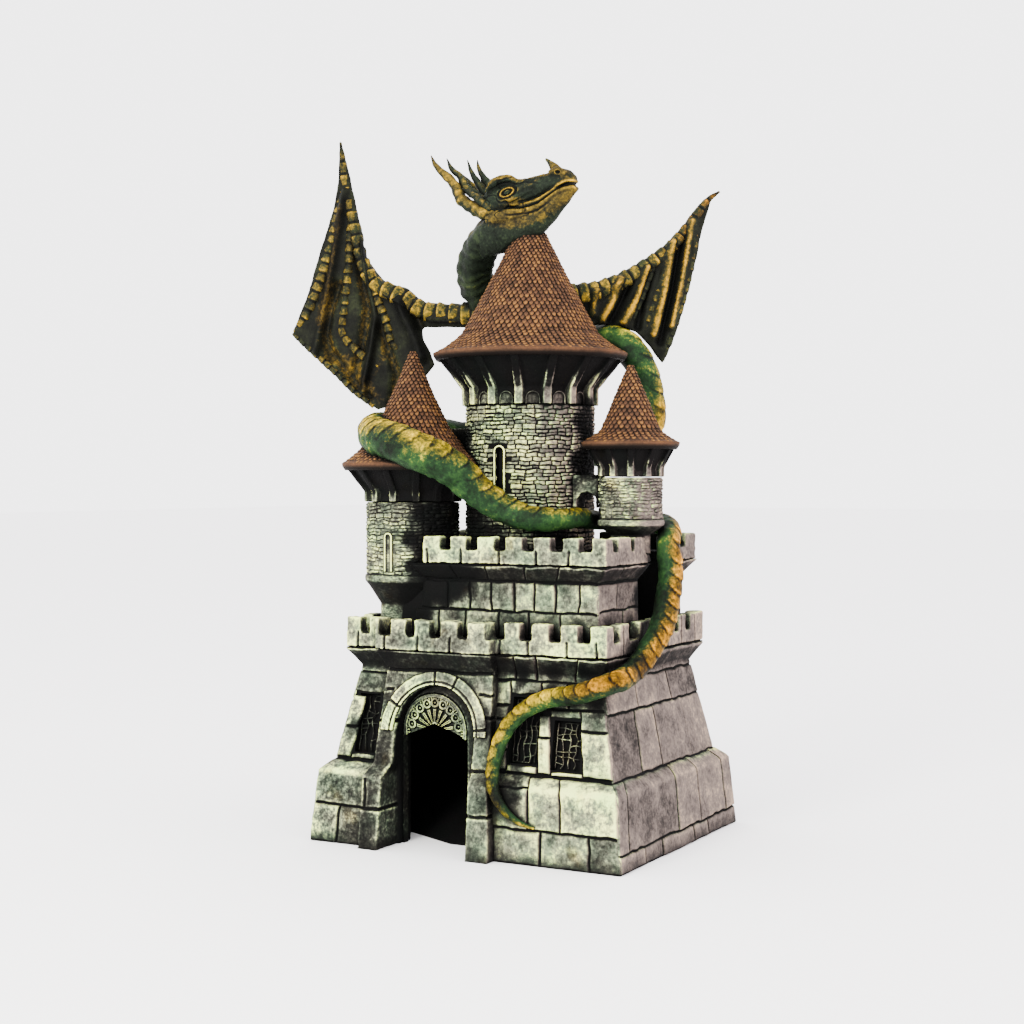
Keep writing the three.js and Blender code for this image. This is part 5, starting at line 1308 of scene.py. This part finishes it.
def head():
    """Skull, muzzle, jaw, brows and cheeks melted into one skin, then carved and painted."""
    soup = Skin()

    def limb(path, n, sides, sign=1):
        soup.tube(loft([[x, HEAD_Y + sign * out, *rest] for x, out, *rest in path], n, sides))

    limb(SKULL, 50, 32)
    limb(JAW, 50, 32)
    for sign in (-1, 1):
        for path in (BROW, CHEEK, LID, NOSTRIL, CHIN):
            limb(path, 26, 12, sign)
    limb(NOSE_HORN, 16, 12)
    points, faces, normal = recast(np.concatenate(soup.points), np.concatenate(soup.faces), 0.36, 3)
    x, z = points[:, 0], points[:, 2]
    # The mouth line rises in a double curve from its corner to the lip below the nostril.
    on_head = smooth(-7, -3.5, x) * (normal[:, 0] > -0.9)
    above = z - np.interp(x, MOUTH_X, MOUTH_Z)
    gap = line_at(above, 0.6) * on_head
    lip = line_at(above - 1.5, 0.75) * on_head
    under = line_at(above + 1.7, 0.9) * on_head
    fold = line_at(above + 3.6, 0.6) * on_head * smooth(18, 10, x)
    # The eye is an almond that tilts up towards the brow.
    a = (x - EYE_X) * 0.94 + (z - EYE_Z) * 0.34
    b = -(x - EYE_X) * 0.34 + (z - EYE_Z) * 0.94
    eye = np.hypot(a / 1.75, b / 1.0)
    outward = smooth(0.3, 0.6, np.abs(normal[:, 1]))
    ring = line_at(eye - 1.85, 0.3) * outward
    socket = (line_at(eye - 1.25, 0.28) + 0.8 * line_at(eye - 2.6, 0.35)) * outward
    ball = smooth(1.0, 0.8, eye) * outward
    hole = smooth(1.2, 0.6, np.hypot((x - NOSTRIL_X) * 0.8, z - NOSTRIL_Z)) * outward
    depth = -1.4 * gap * (1 - 0.7 * smooth(20, 26, x)) + 0.6 * lip + 0.45 * under - 0.6 * fold \
        - 1.1 * hole - 0.7 * socket + 0.5 * ring + 0.2 * ball
    crease = np.abs(rough(points * [1, 1, 1.6], 6.5, 2, 61))
    crease = smooth(0.12, 0.0, crease) * smooth(14, 2, x)
    furrow = np.sin(0.9 * (above - 0.22 * x)) * smooth(3, 5, above) * smooth(16, 6, x) * smooth(-14, -8, x)
    around_eye = eye > 3
    depth = depth + 0.3 * furrow * outward * around_eye + 0.5 * rough(points, 5, 3, 14) \
        + 0.14 * rough(points, 1.5, 2, 15) - 0.3 * crease * around_eye * smooth(284, 290, z)
    flank = smooth(0.15, 0.5, np.abs(normal[:, 1]))
    gold = 0.14 + 0.8 * lip + 0.7 * under + 0.8 * ring
    gold = gold + 0.75 * blob(x, z, -9, 288.0, 9.5, 4.4) * flank
    gold = gold + 0.5 * smooth(-1, -3.5, above) * smooth(-13, -6, above) * smooth(-14, -6, x) * flank
    gold = gold + 0.6 * line_at(z - np.interp(x, BROW_X, BROW_Z), 1.3) * smooth(-18, -15, x)
    gold = gold + 0.55 * blob(x, z, -2.5, 295, 6, 1.5) * flank
    snout = smooth(304, 306.5, z) * smooth(10, 15, x) * smooth(25, 20, x)
    gold = gold + 0.35 * smooth(16, 23, x) + 0.4 * snout
    gold = gold + 0.3 * smooth(0.2, 0.9, furrow) * outward * around_eye
    gold = gold * (1 - gap) - 0.8 * hole - 0.3 * crease - 0.3 * smooth(284, 276, z)
    tone = 0.5 - 0.7 * gap - 0.8 * hole - 0.7 * socket + 0.3 * lip - 0.3 * crease * smooth(284, 290, z) \
        - 0.3 * fold - 0.1 * ball
    mesh = build("dragon_head_carved", points + normal * depth[:, None], faces, gold=gold, tone=tone, warm=0)
    place("dragon_head_carved", mesh, HEAD_PAINT, "dragon", "dragon_head", rounds=1)


def horn_swell(along, angle, radius, flat):
    return radius * (0.05 * np.sin(along * 1.3 + 0.8 * angle) + 0.2 * rough(flat, 4, 3, 27))


# Seven horns behind the head, each (path, gilding).
HORNS = [
    ([[-13, -6, 290, 3.6], [-19.6, -7, 291, 3.5], [-27, -6.5, 294.3, 3.2], [-33.2, -6, 299.1, 2.9],
      [-37, -5.5, 305.8, 2.4], [-40, -5.5, 309, 2.2], [-43.2, -6, 311.8, 1.8], [-47.5, -6, 316.5, 1.1],
      [-49.5, -6, 320.6, 0.2]], 0.9),
    ([[-13, -4, 295, 3], [-21.3, -4, 296.6, 2.9], [-26.2, -3, 300, 2.5], [-32.4, -3, 304.8, 2.1],
      [-34.9, -3, 309.4, 1.7], [-40, -3, 314.1, 1.1], [-42.5, -3, 319, 0.2]], 0.5),
    ([[-13, 0, 298, 2.6], [-23.5, 1, 301.5, 2.4], [-27.2, 1, 306.1, 1.9], [-31, 1, 311.8, 1.2],
      [-33.5, 1, 318.2, 0.2]], 0.4),
    ([[-12, 2, 300, 2.4], [-19, 4, 302, 2.4], [-23.4, 4, 305, 2.1], [-26.4, 4, 309.7, 1.6],
      [-28.9, 4, 314.3, 1], [-29.7, 4, 318.4, 0.2]], 0.5),
    ([[-13, 1, 293, 3], [-24, 8, 296, 2.8], [-31, 9, 301, 2.2], [-36, 9, 308, 1.5], [-42, 9, 314, 0.2]], 0.5),
    ([[-14, -2, 300, 2], [-18.5, -2, 304, 1.7], [-22.5, -1.4, 308.5, 1.1], [-25.2, -1.4, 312.5, 0.2]], 0.3),
    ([[-15, -8, 292, 2.2], [-20, -9.6, 296, 1.9], [-26, -9, 300.4, 1.3], [-31, -8, 303, 0.3]], 0.6)]


def horns():
    """The horns as twisted tubes that lighten along their front."""
    spikes = Skin()
    for path, shine in HORNS:
        rings, angle, along = tube_rings(path, 60, 14, [(0, (0, -1, 0.4))], swell=horn_swell)
        light = 0.5 * np.exp(-((angle - 0.4) / 1.1) ** 2)[None] + 0.2 * rough(rings, 7, 2, 29)
        spikes.tube(rings, 0.15 + 0.6 * light, shine * (0.18 + light))
    place("dragon_horns", spikes.mesh("dragon_horns"), HEAD_PAINT, "dragon")


head()
horns()

# ---------------------------------------------------------------- CAD parts that stay as they are

for node, paint, slot in (("keep_shell", JOINT, "stone_dark"), ("upper_keep", JOINT, "stone_dark"),
                          ("main_drum", JOINT, "stone_dark"), ("lower_deck", DARK, "stone"),
                          ("upper_deck", DARK, "stone"), ("upper_baffle", DARK, "stone_dark"),
                          ("middle_baffle", DARK, "stone_dark"), ("exit_ramp", DARK, "stone_dark")):
    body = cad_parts[node]
    for material_slot in body.material_slots:
        material_slot.material = paint

# ---------------------------------------------------------------- floor, light and camera

FLOOR_COLOUR, SKY_COLOUR, SKY_STRENGTH = (0.93, 0.92, 0.925, 1), (0.87, 0.86, 0.87, 1), 4.95
CAMERA_AT, LENS_MM, SENSOR_MM = np.array([378.5, -719.1, 165.3]), 60.8, 36
CAMERA_PITCH, CAMERA_TURN = math.radians(90 - 1.06), math.radians(28.30)
CASTLE_MIDDLE = (0, 0, 0.15)

floor_mesh = bpy.data.meshes.new("floor")
floor_mesh.from_pydata([(-6, -3, 0), (6, -3, 0), (6, 9, 0), (-6, 9, 0)], [], [(0, 1, 2, 3)])
floor = bpy.data.objects.new("floor", floor_mesh)
bpy.context.scene.collection.objects.link(floor)
floor_paint = Paint("floor_paint", 0.9)
floor_paint.shader.inputs["Base Color"].default_value = FLOOR_COLOUR
floor_mesh.materials.append(floor_paint.material)

world = bpy.data.worlds.new("studio")
bpy.context.scene.world = world
world.use_nodes = True
world.node_tree.nodes["Background"].inputs["Color"].default_value = SKY_COLOUR
world.node_tree.nodes["Background"].inputs["Strength"].default_value = SKY_STRENGTH


def lamp(name, where, size, power, colour):
    """A round soft lamp that faces the castle."""
    light = bpy.data.lights.new(name, "AREA")
    light.shape, light.size, light.energy, light.color = "DISK", size, power, colour
    body = bpy.data.objects.new(name, light)
    body.location = Vector(where)
    body.rotation_euler = (Vector(CASTLE_MIDDLE) - Vector(where)).to_track_quat("-Z", "Y").to_euler()
    bpy.context.scene.collection.objects.link(body)


lamp("key", (-0.1, -1.3, 0.7), 0.45, 34, (1.0, 1.0, 0.9))
lamp("side", (1.2, 0.1, 0.35), 0.5, 9, (1.0, 0.84, 0.84))

camera = bpy.data.cameras.new("camera")
camera.lens, camera.sensor_width = LENS_MM, SENSOR_MM
eye = bpy.data.objects.new("camera", camera)
eye.location = Vector(CAMERA_AT * MM + ORIGIN)
eye.rotation_euler = (CAMERA_PITCH, 0, CAMERA_TURN)
bpy.context.scene.collection.objects.link(eye)
bpy.context.scene.camera = eye
